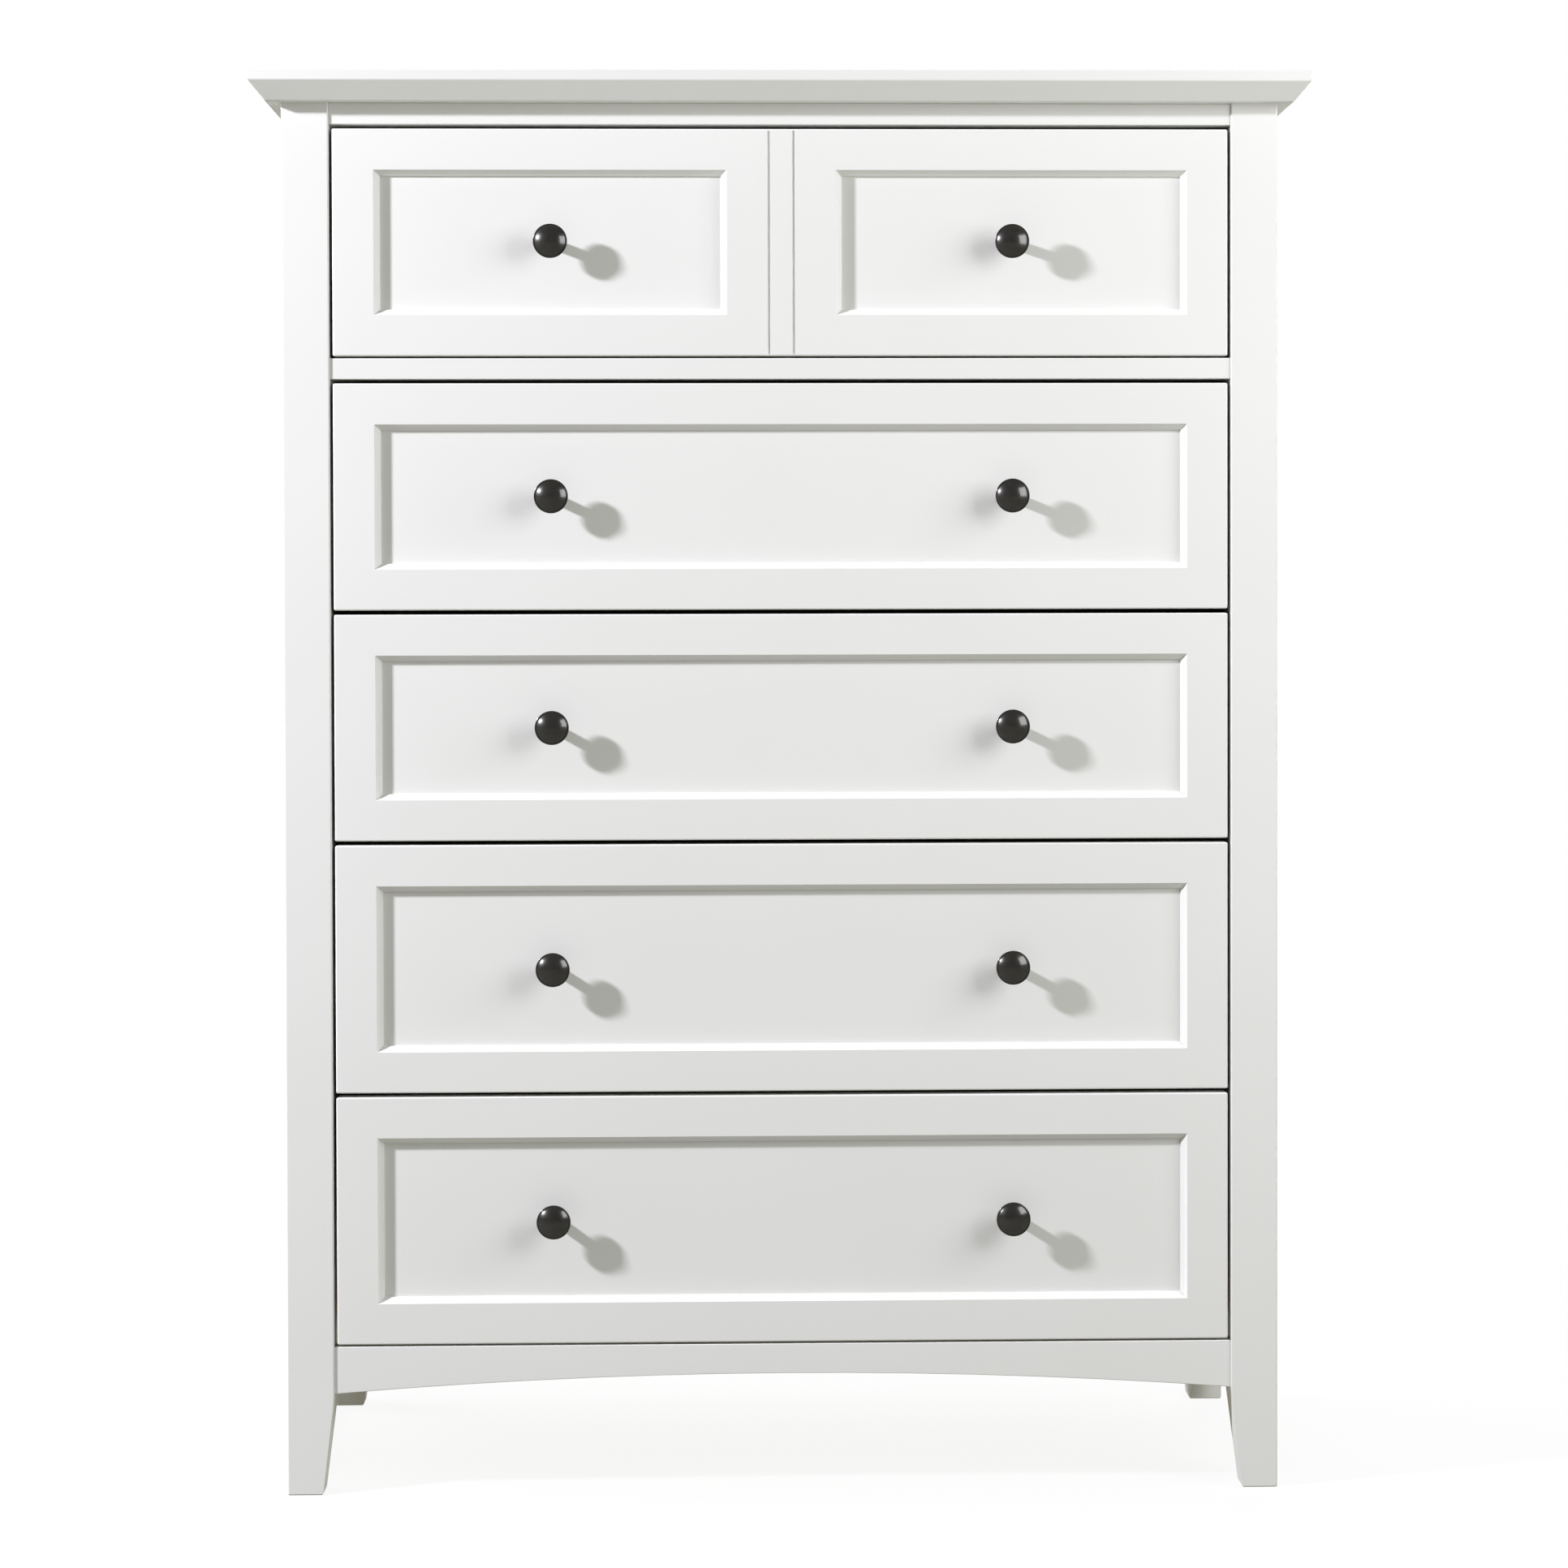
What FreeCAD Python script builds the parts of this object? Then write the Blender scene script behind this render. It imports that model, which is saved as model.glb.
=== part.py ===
# Tall chest of five drawers: posts, rails, a moulded top, recessed panels, ball-bearing slides.
# Millimetres, +Z up, front towards -Y, origin on the floor under the middle of the top.

import FreeCAD, Part
import math
import os
import Sketcher

DRAWERS = 5
CORNERS = 4
ALONG = FreeCAD.Vector(0, 0, 1)
SIDEWAYS = FreeCAD.Vector(1, 0, 0)
FRONT_TO_BACK = FreeCAD.Vector(0, 1, 0)

SIZES = [
    ("top_width", 990, "top, left to right"),
    ("top_depth", 457, "top, front to back"),
    ("top_thickness", 27.5, "top board"),
    ("side_overhang", 28, "top beyond the case, each side"),
    ("front_overhang", 28, "top beyond the case, front"),
    ("back_overhang", 9, "top beyond the case, back"),
    ("moulding_height", 14.5, "bevel under the top's edge, up"),
    ("moulding_depth", 17.5, "bevel under the top's edge, in"),
    ("moulding_round", 1, "rounding of the bevel's arrises"),
    ("post_size", 44, "square post"),
    ("leg_height", 95, "floor to the apron's lower edge at the posts"),
    ("foot_size", 33, "square foot of a tapered leg"),
    ("foot_chamfer", 1.2, "worn-in edge under a foot"),
    ("eased_edge", 1.5, "rounding of the outer edges"),
    ("apron_height", 44.5, "arched apron at the posts"),
    ("arch_rise", 16.5, "rise of the apron's arch"),
    ("rail_set_back", 2, "front rails behind the posts"),
    ("rail_thickness", 22, "apron, side rails and rear rails"),
    ("rail_depth", 50, "flat front rails, front to back"),
    ("top_rail_height", 20, "front rail under the top"),
    ("middle_rail_height", 19.5, "front rail under the first drawer"),
    ("upper_drawer_height", 212.5, "front of drawers 1, 2 and 3"),
    ("lower_drawer_height", 233, "front of drawers 4 and 5"),
    ("drawer_gap", 4, "gap over a drawer front"),
    ("rail_gap", 2, "gap between a drawer front and the rail below"),
    ("side_gap", 3, "gap beside a drawer front"),
    ("front_set_back", 1, "drawer fronts behind the posts"),
    ("front_thickness", 20, "drawer front frame"),
    ("frame_width", 38.5, "flat of a drawer front's stiles and rails"),
    ("bevel_width", 5.3, "bevel inside the frame"),
    ("bevel_depth", 5.8, "bevel inside the frame, front to back"),
    ("panel_recess", 7.6, "drawer panel behind the frame"),
    ("panel_thickness", 6, "drawer panel"),
    ("groove_depth", 8, "grooves that hold panels"),
    ("panel_play", 0.5, "room for a panel to move in its groove, each side"),
    ("stile_width", 20.9, "face of the false centre stile"),
    ("quirk_width", 2.3, "shallow groove beside the centre stile"),
    ("quirk_depth", 1.4, "shallow groove beside the centre stile"),
    ("board_thickness", 12, "drawer box boards"),
    ("box_back_room", 3, "between a drawer box and the rear posts"),
    ("box_rise", 12, "drawer box above the front's lower edge"),
    ("box_drop", 24, "drawer box below the front's upper edge"),
    ("bottom_thickness", 5, "drawer bottom"),
    ("bottom_rise", 10, "drawer bottom above the box's lower edge"),
    ("bottom_groove", 6, "groove for the drawer bottom"),
    ("slide_space", 12.7, "slide between post and drawer box"),
    ("slide_back_room", 2, "between the slides and the rear posts"),
    ("slide_start", 3, "slides behind the drawer front"),
    ("slide_rise", 95, "slides' middle above the front's lower edge"),
    ("slide_sheet", 1.2, "steel of the slides"),
    ("case_member_height", 45, "case member of a slide"),
    ("middle_member_height", 36.6, "middle member of a slide"),
    ("drawer_member_height", 28.2, "drawer member of a slide"),
    ("member_gap", 0.8, "between the webs of slide members"),
    ("ball_clearance", 0.2, "ball retainer to the raceway"),
    ("retainer_length", 150, "ball retainers"),
    ("cleat_height", 60, "cleats that carry the slides"),
    ("side_panel_recess", 10, "side panels behind the posts' outer faces"),
    ("side_panel_thickness", 8, "side panels"),
    ("side_rail_height", 70, "upper and lower side rails"),
    ("rear_rail_height", 60, "upper and lower rear rails"),
    ("back_thickness", 5, "back panel"),
    ("back_rabbet", 10, "rabbet for the back panel in the rear posts"),
    ("block_size", 40, "glue blocks in the top corners"),
    ("knob_spacing", 432, "between the knobs of a drawer"),
    ("knob_projection", 27, "knob, from the panel's face"),
    ("knob_radius", 16, "rim of the knob's head"),
    ("rim_width", 1.8, "flat step round the head"),
    ("rim_height", 3, "edge of the head"),
    ("dome_height", 5, "dome above the rim"),
    ("neck_radius", 5, "thinnest part of the knob's neck"),
    ("neck_flare", 2.5, "rounding between neck and head"),
    ("base_radius", 8, "knob's seat on the panel"),
    ("base_height", 2, "knob's seat, thickness"),
    ("screw_radius", 2, "knob screw"),
    ("screw_grip", 10, "screw inside the knob"),
    ("screw_clearance", 0.3, "screw hole in the boards, around the screw"),
    ("thread_clearance", 0.05, "screw hole in the knob, around the screw"),
    ("head_radius", 4.5, "screw head"),
    ("head_height", 2.6, "screw head"),
]

PLACES = [
    ("post_outside", "Sizes.top_width / 2 - Sizes.side_overhang"),
    ("opening_half", "Places.post_outside - Sizes.post_size"),
    ("top_front", "-Sizes.top_depth / 2"),
    ("case_front", "Places.top_front + Sizes.front_overhang"),
    ("case_back", "Sizes.top_depth / 2 - Sizes.back_overhang"),
    ("rail_front", "Places.case_front + Sizes.rail_set_back"),
    ("face", "Places.case_front + Sizes.front_set_back"),
    ("front_back", "Places.face + Sizes.front_thickness"),
    ("bay_front", "Places.case_front + Sizes.post_size"),
    ("bay_back", "Places.case_back - Sizes.post_size"),
    ("bay_length", "Places.bay_back - Places.bay_front"),
    ("panel_face", "Places.face + Sizes.panel_recess"),
    ("box_half", "Places.opening_half - Sizes.slide_space"),
    ("box_inside", "Places.box_half - Sizes.board_thickness"),
    ("front_half", "Places.opening_half - Sizes.side_gap"),
    ("stile_half", "Sizes.stile_width / 2 + Sizes.quirk_width"),
    ("box_length", "Places.bay_back - Places.front_back - Sizes.box_back_room"),
    ("slide_front", "Places.front_back + Sizes.slide_start"),
    ("slide_length", "Places.bay_back - Places.slide_front - Sizes.slide_back_room"),
    ("apron_top", "Sizes.leg_height + Sizes.apron_height"),
    ("drawer_5_low", "Places.apron_top + Sizes.rail_gap"),
    ("drawer_4_low", "Places.drawer_5_low + Sizes.lower_drawer_height + Sizes.drawer_gap"),
    ("drawer_3_low", "Places.drawer_4_low + Sizes.lower_drawer_height + Sizes.drawer_gap"),
    ("drawer_2_low", "Places.drawer_3_low + Sizes.upper_drawer_height + Sizes.drawer_gap"),
    ("middle_rail_low", "Places.drawer_2_low + Sizes.upper_drawer_height + Sizes.drawer_gap"),
    ("drawer_1_low", "Places.middle_rail_low + Sizes.middle_rail_height + Sizes.rail_gap"),
    ("top_rail_low", "Places.drawer_1_low + Sizes.upper_drawer_height + Sizes.drawer_gap"),
    ("post_height", "Places.top_rail_low + Sizes.top_rail_height"),
    ("panel_outside", "Places.post_outside - Sizes.side_panel_recess"),
    ("panel_inside", "Places.panel_outside - Sizes.side_panel_thickness"),
    ("side_rail_outside", "Places.post_outside - Sizes.rail_set_back"),
    ("back_face", "Places.case_back - Sizes.back_thickness"),
    ("frame_inner", "Sizes.frame_width + Sizes.bevel_width"),
    ("member_lip", "Sizes.slide_space - 3 * Sizes.slide_sheet - 2 * Sizes.member_gap"),
]

doc = FreeCAD.newDocument("TallChest")


def fill_sheet():
    """Write the driving sizes, with their names, into the spreadsheet."""
    sheet = doc.addObject("Spreadsheet::Sheet", "Sizes")
    for row, (alias, value, note) in enumerate(SIZES, start=1):
        sheet.set(f"A{row}", note)
        sheet.set(f"B{row}", str(value))
        sheet.setAlias(f"B{row}", alias)
    doc.recompute()


def work_out_places():
    """Hold the places that follow from the sizes as bound properties."""
    places = doc.addObject("App::VarSet", "Places")
    for name, expression in PLACES:
        places.addProperty("App::PropertyFloat", name, "Places")
        places.setExpression(name, expression)
    doc.recompute()
    return places


fill_sheet()
places = work_out_places()


def number(expression):
    """What an expression in the named sizes comes to."""
    return float(places.evalExpression(expression))


def plus(*expressions):
    """The sum of expressions, as one expression."""
    return " + ".join(f"({expression})" for expression in expressions)


def minus(expression):
    """An expression with its sign changed."""
    return f"-({expression})"


def put(thing, x="0", y="0", z="0", axis=ALONG, turn=0):
    """Turn a sub-part and bind its place to the sheet."""
    thing.Placement.Rotation = FreeCAD.Rotation(axis, turn)
    for letter, expression in zip("xyz", (x, y, z)):
        thing.setExpression(f"Placement.Base.{letter}", expression)
    return thing


def board(name, low, size):
    """A plain board, by its low corner and its size along X, Y and Z."""
    box = doc.addObject("Part::Box", name)
    for side, expression in zip(("Length", "Width", "Height"), size):
        box.setExpression(side, expression)
    return put(box, *low)


def rod(name, radius, length, place, axis, turn):
    """A round bar, used to bore holes."""
    bar = doc.addObject("Part::Cylinder", name)
    bar.setExpression("Radius", radius)
    bar.setExpression("Height", length)
    return put(bar, *place, axis=axis, turn=turn)


def cut_away(name, base, tools):
    """A piece with one or more tools cut out of it."""
    fused = tools[0]
    if len(tools) > 1:
        fused = doc.addObject("Part::MultiFuse", f"{name}_cutters")
        fused.Shapes = tools
    piece = doc.addObject("Part::Cut", name)
    piece.Base = base
    piece.Tool = fused
    return piece


def mirrored(name, piece, normal, middle="0"):
    """The mirror image of a piece across the middle of the case, side to side or front to back."""
    image = doc.addObject("Part::Mirroring", name)
    image.Source = piece
    image.Normal = normal
    if normal == FRONT_TO_BACK:
        image.setExpression("Base.y", middle)
    return image


def both_sides(name, pieces):
    """Pieces of the left side with their images on the right, as one node."""
    images = [mirrored(f"{piece.Name}_right", piece, SIDEWAYS) for piece in pieces]
    return group(name, pieces + images)


def group(name, pieces):
    """One node of several separate pieces."""
    node = doc.addObject("Part::Compound", name)
    node.Links = pieces
    node.Label = name
    return node


def new_sketch(body, name, role):
    """An empty sketch on one of the body's own origin planes."""
    sketch = body.newObject("Sketcher::SketchObject", name)
    plane = next(item for item in body.Origin.OriginFeatures if item.Role == role)
    sketch.AttachmentSupport = [(plane, "")]
    sketch.MapMode = "FlatFace"
    return sketch


def pin_point(sketch, edge, corner):
    """Bind the start of an edge to a corner given by two expressions."""
    for kind, expression in zip(("DistanceX", "DistanceY"), corner):
        rule = sketch.addConstraint(Sketcher.Constraint(kind, -1, 1, edge, 1, number(expression)))
        sketch.setExpression(f"Constraints[{rule}]", expression)


def outline(sketch, corners):
    """Add a closed outline of straight edges, every corner bound to the sheet."""
    first = sketch.GeometryCount
    points = [FreeCAD.Vector(number(x), number(y), 0) for x, y in corners]
    for index, point in enumerate(points):
        sketch.addGeometry(Part.LineSegment(point, points[(index + 1) % len(points)]))
    for index, corner in enumerate(corners):
        after = first + (index + 1) % len(corners)
        sketch.addConstraint(Sketcher.Constraint("Coincident", first + index, 2, after, 1))
        pin_point(sketch, first + index, corner)


def rectangle(low_x, low_y, high_x, high_y):
    """The corners of an upright rectangle."""
    return [(low_x, low_y), (high_x, low_y), (high_x, high_y), (low_x, high_y)]


def pad(body, sketch, length, backwards=False):
    """Thicken a sketch into a solid."""
    feature = body.newObject("PartDesign::Pad", f"{sketch.Name}_pad")
    feature.Profile = sketch
    feature.setExpression("Length", length)
    feature.Reversed = backwards
    return feature


def pocket(body, sketch):
    """Cut a sketch right through the solid, both ways."""
    feature = body.newObject("PartDesign::Pocket", f"{sketch.Name}_pocket")
    feature.Profile = sketch
    feature.Type = "ThroughAll"
    feature.Midplane = True
    return feature


def edge_names(feature, wanted):
    """The names of the edges of a feature that pass a test."""
    doc.recompute([feature])
    return [f"Edge{index}" for index, edge in enumerate(feature.Shape.Edges, start=1) if wanted(edge)]


def near(value, expression):
    """Whether a coordinate lies where an expression says."""
    return abs(value - number(expression)) < 1e-4


def round_edges(body, feature, radius, wanted):
    """Round the edges of a feature that pass a test."""
    rounding = body.newObject("PartDesign::Fillet", f"{body.Name}_round")
    rounding.Base = (feature, edge_names(feature, wanted))
    rounding.setExpression("Radius", radius)
    return rounding


def is_straight(edge, direction):
    """Whether an edge is a straight line along a direction."""
    return isinstance(edge.Curve, Part.Line) and abs(edge.Curve.Direction.dot(direction)) > 0.999


def top_panel():
    """The top board, with a bevel under its front and side edges."""
    body = doc.addObject("PartDesign::Body", "top_panel")
    sketch = new_sketch(body, "top_outline", "XY_Plane")
    half = "Sizes.top_width / 2"
    back = "Sizes.top_depth / 2"
    outline(sketch, rectangle(minus(half), "Places.top_front", half, back))
    board_pad = pad(body, sketch, "Sizes.top_thickness")

    def is_moulded(edge):
        middle = edge.CenterOfMass
        return near(middle.z, "0") and not near(middle.y, back)

    bevel = body.newObject("PartDesign::Chamfer", "top_moulding")
    bevel.Base = (board_pad, edge_names(board_pad, is_moulded))
    bevel.ChamferType = "Two distances"
    bevel.setExpression("Size", "Sizes.moulding_height")
    bevel.setExpression("Size2", "Sizes.moulding_depth")
    doc.recompute([bevel])
    band_low = "Sizes.top_thickness - Sizes.moulding_height"
    if not any(near(vertex.Z, band_low) for vertex in bevel.Shape.Vertexes):
        bevel.FlipDirection = True

    def is_arris(edge):
        middle = edge.CenterOfMass
        flat = near(middle.z, band_low) or near(middle.z, "Sizes.top_thickness")
        return flat and (is_straight(edge, SIDEWAYS) or is_straight(edge, FRONT_TO_BACK))

    round_edges(body, bevel, "Sizes.moulding_round", is_arris)
    return put(body, z="Places.post_height")


def post_blank():
    """A front left post: eased edges, inner faces tapered at the leg."""
    body = doc.addObject("PartDesign::Body", "post_blank")
    size = "Sizes.post_size"
    foot = "Sizes.foot_size"
    leg = "Sizes.leg_height"
    height = "Places.post_height"
    section = new_sketch(body, "post_section", "XY_Plane")
    outline(section, rectangle("0", "0", size, size))
    blank = pad(body, section, height)

    def is_outer(edge):
        middle = edge.CenterOfMass
        return is_straight(edge, ALONG) and (near(middle.x, "0") or near(middle.y, "0"))

    round_edges(body, blank, "Sizes.eased_edge", is_outer)
    worn = "Sizes.foot_chamfer"
    leaning = f"{foot} + {worn} * ({size} - {foot}) / {leg}"
    for role in ("XZ_Plane", "YZ_Plane"):
        taper = new_sketch(body, f"post_taper_{role[:2]}", role)
        outline(taper, [(f"{foot} - {worn}", "0"), (size, "0"), (size, leg), (leaning, worn)])
        outline(taper, [("0", "0"), (worn, "0"), ("0", worn)])
        pocket(body, taper)
    return put(body, minus("Places.post_outside"), "Places.case_front")


def post_panel_groove():
    """What the groove for the side panel takes out of the front left post."""
    return board(
        "post_groove_cutter",
        (minus("Places.panel_outside"), "Places.bay_front - Sizes.groove_depth", "Sizes.leg_height"),
        ("Sizes.side_panel_thickness", "2 * Sizes.groove_depth", "Places.post_height"),
    )


def posts():
    """Four posts; the rear pair has a rabbet for the back panel."""
    front_left = cut_away("front_left_post", post_blank(), [post_panel_groove()])
    middle = "(Places.case_front + Places.case_back) / 2"
    plain_rear = mirrored("rear_left_post_blank", front_left, FRONT_TO_BACK, middle)
    rabbet = board(
        "back_rabbet_cutter",
        (minus("Places.opening_half + Sizes.back_rabbet"), "Places.back_face", "Sizes.leg_height"),
        ("2 * Sizes.back_rabbet", "2 * Sizes.back_thickness", "Places.post_height"),
    )
    rear_left = cut_away("rear_left_post", plain_rear, [rabbet])
    front_right = mirrored("front_right_post", front_left, SIDEWAYS)
    rear_right = mirrored("rear_right_post", rear_left, SIDEWAYS)
    return [front_left, front_right, rear_left, rear_right]


def side_rail(name, low):
    """A left side rail between the posts."""
    return board(
        name,
        (minus("Places.side_rail_outside"), "Places.bay_front", low),
        ("Sizes.rail_thickness", "Places.bay_length", "Sizes.side_rail_height"),
    )


def sides():
    """The frame-and-panel sides: upper and lower rails, with a thin panel let into them."""
    upper_low = "Places.post_height - Sizes.side_rail_height"
    lower_high = "Sizes.leg_height + Sizes.side_rail_height"
    held = "Sizes.groove_depth - Sizes.panel_play"
    low = plus(lower_high, minus(held))
    high = plus(upper_low, held)
    panel = board(
        "left_side_panel",
        (minus("Places.panel_outside"), plus("Places.bay_front", minus(held)), low),
        ("Sizes.side_panel_thickness", plus("Places.bay_length", f"2 * ({held})"), plus(high, minus(low))),
    )
    groove = board(
        "side_panel_grooves",
        (minus("Places.panel_outside"), "Places.bay_front", plus(lower_high, "-Sizes.groove_depth")),
        (
            "Sizes.side_panel_thickness",
            "Places.bay_length",
            plus(upper_low, minus(lower_high), "2 * Sizes.groove_depth"),
        ),
    )
    upper_blank = side_rail("left_upper_rail_blank", upper_low)
    lower_blank = side_rail("left_lower_rail_blank", "Sizes.leg_height")
    upper = cut_away("left_upper_side_rail", upper_blank, [groove])
    lower = cut_away("left_lower_side_rail", lower_blank, [groove])
    left = [panel, upper, lower]
    right = [mirrored(piece.Name.replace("left", "right"), piece, SIDEWAYS) for piece in left]
    return left + right


def front_rail(name, low, height):
    """A flat rail across the front, between the posts."""
    return board(
        name,
        (minus("Places.opening_half"), "Places.rail_front", low),
        ("2 * Places.opening_half", "Sizes.rail_depth", height),
    )


def apron():
    """The apron, arched along its lower edge."""
    body = doc.addObject("PartDesign::Body", "apron")
    sketch = new_sketch(body, "apron_outline", "XZ_Plane")
    half = number("Places.opening_half")
    low = number("Sizes.leg_height")
    high = number("Places.apron_top")
    crown = FreeCAD.Vector(0, low + number("Sizes.arch_rise"), 0)
    corners = [(half, low), (half, high), (-half, high), (-half, low)]
    points = [FreeCAD.Vector(x, y, 0) for x, y in corners]
    for start, end in zip(points, points[1:]):
        sketch.addGeometry(Part.LineSegment(start, end))
    sketch.addGeometry(Part.Arc(points[3], crown, points[0]))
    arch = sketch.GeometryCount - 1
    joins = [(0, 2, 1, 1), (1, 2, 2, 1)]
    ends = [(2, 2), (0, 1)]
    for first, first_end, second, second_end in joins:
        sketch.addConstraint(Sketcher.Constraint("Coincident", first, first_end, second, second_end))
    for line, end in ends:
        touching = min((1, 2), key=lambda tip: tip_distance(sketch, arch, tip, line, end))
        sketch.addConstraint(Sketcher.Constraint("Coincident", line, end, arch, touching))
    span = "Places.opening_half"
    pin_point(sketch, 0, (span, "Sizes.leg_height"))
    pin_point(sketch, 1, (span, "Places.apron_top"))
    pin_point(sketch, 2, (minus(span), "Places.apron_top"))
    level = sketch.addConstraint(Sketcher.Constraint("DistanceY", -1, 1, 2, 2, low))
    sketch.setExpression(f"Constraints[{level}]", "Sizes.leg_height")
    sketch.addConstraint(Sketcher.Constraint("Vertical", 2))
    radius = "(Places.opening_half ^ 2 + Sizes.arch_rise ^ 2) / (2 * Sizes.arch_rise)"
    rule = sketch.addConstraint(Sketcher.Constraint("Radius", arch, number(radius)))
    sketch.setExpression(f"Constraints[{rule}]", radius)
    pad(body, sketch, "Sizes.rail_thickness", backwards=True)
    return put(body, y="Places.rail_front")


def tip_distance(sketch, arch, tip, line, end):
    """How far an end of the arch lies from an end of a line."""
    return (sketch.getPoint(arch, tip) - sketch.getPoint(line, end)).Length


def rear():
    """Two rear rails between the posts and the thin back nailed over them."""
    low_y = "Places.back_face - Sizes.rail_thickness"
    size = ("2 * Places.opening_half", "Sizes.rail_thickness", "Sizes.rear_rail_height")
    left = minus("Places.opening_half")
    upper = board("rear_upper_rail", (left, low_y, "Places.post_height - Sizes.rear_rail_height"), size)
    lower = board("rear_lower_rail", (left, low_y, "Sizes.leg_height"), size)
    reach = "Places.opening_half + Sizes.back_rabbet - Sizes.panel_play"
    back = board(
        "back_panel",
        (minus(reach), "Places.back_face", "Sizes.leg_height"),
        (f"2 * ({reach})", "Sizes.back_thickness", "Places.post_height - Sizes.leg_height"),
    )
    return [upper, lower, back]


def corner_blocks():
    """Glue blocks under the top, in the corners of the front and rear upper rails."""
    body = doc.addObject("PartDesign::Body", "front_corner_block")
    sketch = new_sketch(body, "block_outline", "XY_Plane")
    size = "Sizes.block_size"
    outline(sketch, [("0", "0"), (size, "0"), ("0", size)])
    pad(body, sketch, "Sizes.top_rail_height")
    front_y = "Places.rail_front + Sizes.rail_depth"
    put(body, minus("Places.opening_half"), front_y, "Places.top_rail_low")
    rear_y = "Places.back_face - Sizes.rail_thickness"
    middle = plus(front_y, rear_y)
    rear_block = mirrored("rear_corner_block", body, FRONT_TO_BACK, f"({middle}) / 2")
    return both_sides("corner_blocks", [body, rear_block])


def low_edge(drawer):
    """Where a drawer front's lower edge lies."""
    return f"Places.drawer_{drawer}_low"


def front_height(drawer):
    """How tall a drawer front is."""
    return "Sizes.upper_drawer_height" if drawer <= 3 else "Sizes.lower_drawer_height"


def slide_middle(drawer):
    """The height of a drawer's slides."""
    return plus(low_edge(drawer), "Sizes.slide_rise")


def cleats():
    """Strips between the posts that carry the slides, flush with the posts' inner faces."""
    strips = []
    for drawer in range(1, DRAWERS + 1):
        strip = board(
            f"left_cleat_{drawer}",
            (
                minus("Places.panel_inside"),
                "Places.bay_front",
                plus(slide_middle(drawer), "-Sizes.cleat_height / 2"),
            ),
            (
                "Places.panel_inside - Places.opening_half",
                "Places.bay_length",
                "Sizes.cleat_height",
            ),
        )
        strips.append(strip)
    return both_sides("slide_cleats", strips)


def channel(name, web_at, height, lips, drawer):
    """A slide member of folded sheet on the left side: a web with two lips towards -X or +X."""
    body = doc.addObject("PartDesign::Body", name)
    sketch = new_sketch(body, f"{name}_section", "XZ_Plane")
    half = f"{height} / 2"
    inner = f"{height} / 2 - Sizes.slide_sheet"
    sheet = "Sizes.slide_sheet" if lips > 0 else "-Sizes.slide_sheet"
    tip = f"{sheet} + {lips} * Places.member_lip"
    corners = [
        ("0", minus(half)),
        (tip, minus(half)),
        (tip, minus(inner)),
        (sheet, minus(inner)),
        (sheet, inner),
        (tip, inner),
        (tip, half),
        ("0", half),
    ]
    outline(sketch, corners)
    pad(body, sketch, "Places.slide_length", backwards=True)
    x = plus(minus("Places.opening_half"), web_at)
    return put(body, x, "Places.slide_front", slide_middle(drawer))


def case_member(drawer):
    """The member screwed to the post and the cleat."""
    return channel(f"left_case_member_{drawer}", "0", "Sizes.case_member_height", 1, drawer)


def middle_member(drawer):
    """The member between, with its four ball retainers."""
    web = "Sizes.slide_sheet + Sizes.member_gap"
    member = channel(f"left_middle_member_{drawer}", web, "Sizes.middle_member_height", 1, drawer)
    outer_low = "Sizes.middle_member_height / 2"
    outer_high = "Sizes.case_member_height / 2 - Sizes.slide_sheet - Sizes.ball_clearance"
    inner_low = "Sizes.drawer_member_height / 2 + Sizes.ball_clearance"
    inner_high = "Sizes.middle_member_height / 2 - Sizes.slide_sheet"
    width = "Places.member_lip - Sizes.slide_sheet - 2 * Sizes.member_gap"
    x = plus(minus("Places.opening_half"), web, "Sizes.slide_sheet + Sizes.member_gap")
    y = plus("Places.slide_front", "(Places.slide_length - Sizes.retainer_length) / 2")
    strips = []
    for spot, low, high in (("outer", outer_low, outer_high), ("inner", inner_low, inner_high)):
        size = (width, "Sizes.retainer_length", plus(high, minus(low)))
        above = plus(slide_middle(drawer), low)
        below = plus(slide_middle(drawer), minus(high))
        strips.append(board(f"left_{spot}_upper_retainer_{drawer}", (x, y, above), size))
        strips.append(board(f"left_{spot}_lower_retainer_{drawer}", (x, y, below), size))
    return both_sides(f"middle_slides_{drawer}", [member] + strips)


def drawer_member(drawer):
    """The member screwed to the drawer box."""
    name = f"left_drawer_member_{drawer}"
    height = "Sizes.drawer_member_height"
    member = channel(name, "Sizes.slide_space", height, -1, drawer)
    return both_sides(f"drawer_{drawer}_slides", [member])


def frame_member(name, length):
    """A mitred stile or rail along Z: face at Y = 0, outer edge at X = 0, bevel and panel groove inside."""
    body = doc.addObject("PartDesign::Body", name)
    face = new_sketch(body, f"{name}_face", "XZ_Plane")
    inner = "Places.frame_inner"
    far = plus(length, minus(inner))
    outline(face, [("0", "0"), (inner, inner), (inner, far), ("0", length)])
    blank = pad(body, face, "Sizes.front_thickness", backwards=True)
    section = new_sketch(body, f"{name}_section", "XY_Plane")
    recess = "Sizes.panel_recess"
    outline(section, [("Sizes.frame_width", "0"), (inner, "0"), (inner, "Sizes.bevel_depth")])
    groove_start = plus(inner, "-Sizes.groove_depth")
    outline(section, rectangle(groove_start, recess, inner, plus(recess, "Sizes.panel_thickness")))
    cut = pocket(body, section)

    def is_outer_arris(edge):
        middle = edge.CenterOfMass
        return near(middle.x, "0") and near(middle.y, "0")

    round_edges(body, cut, "Sizes.eased_edge", is_outer_arris)
    return body


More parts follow.
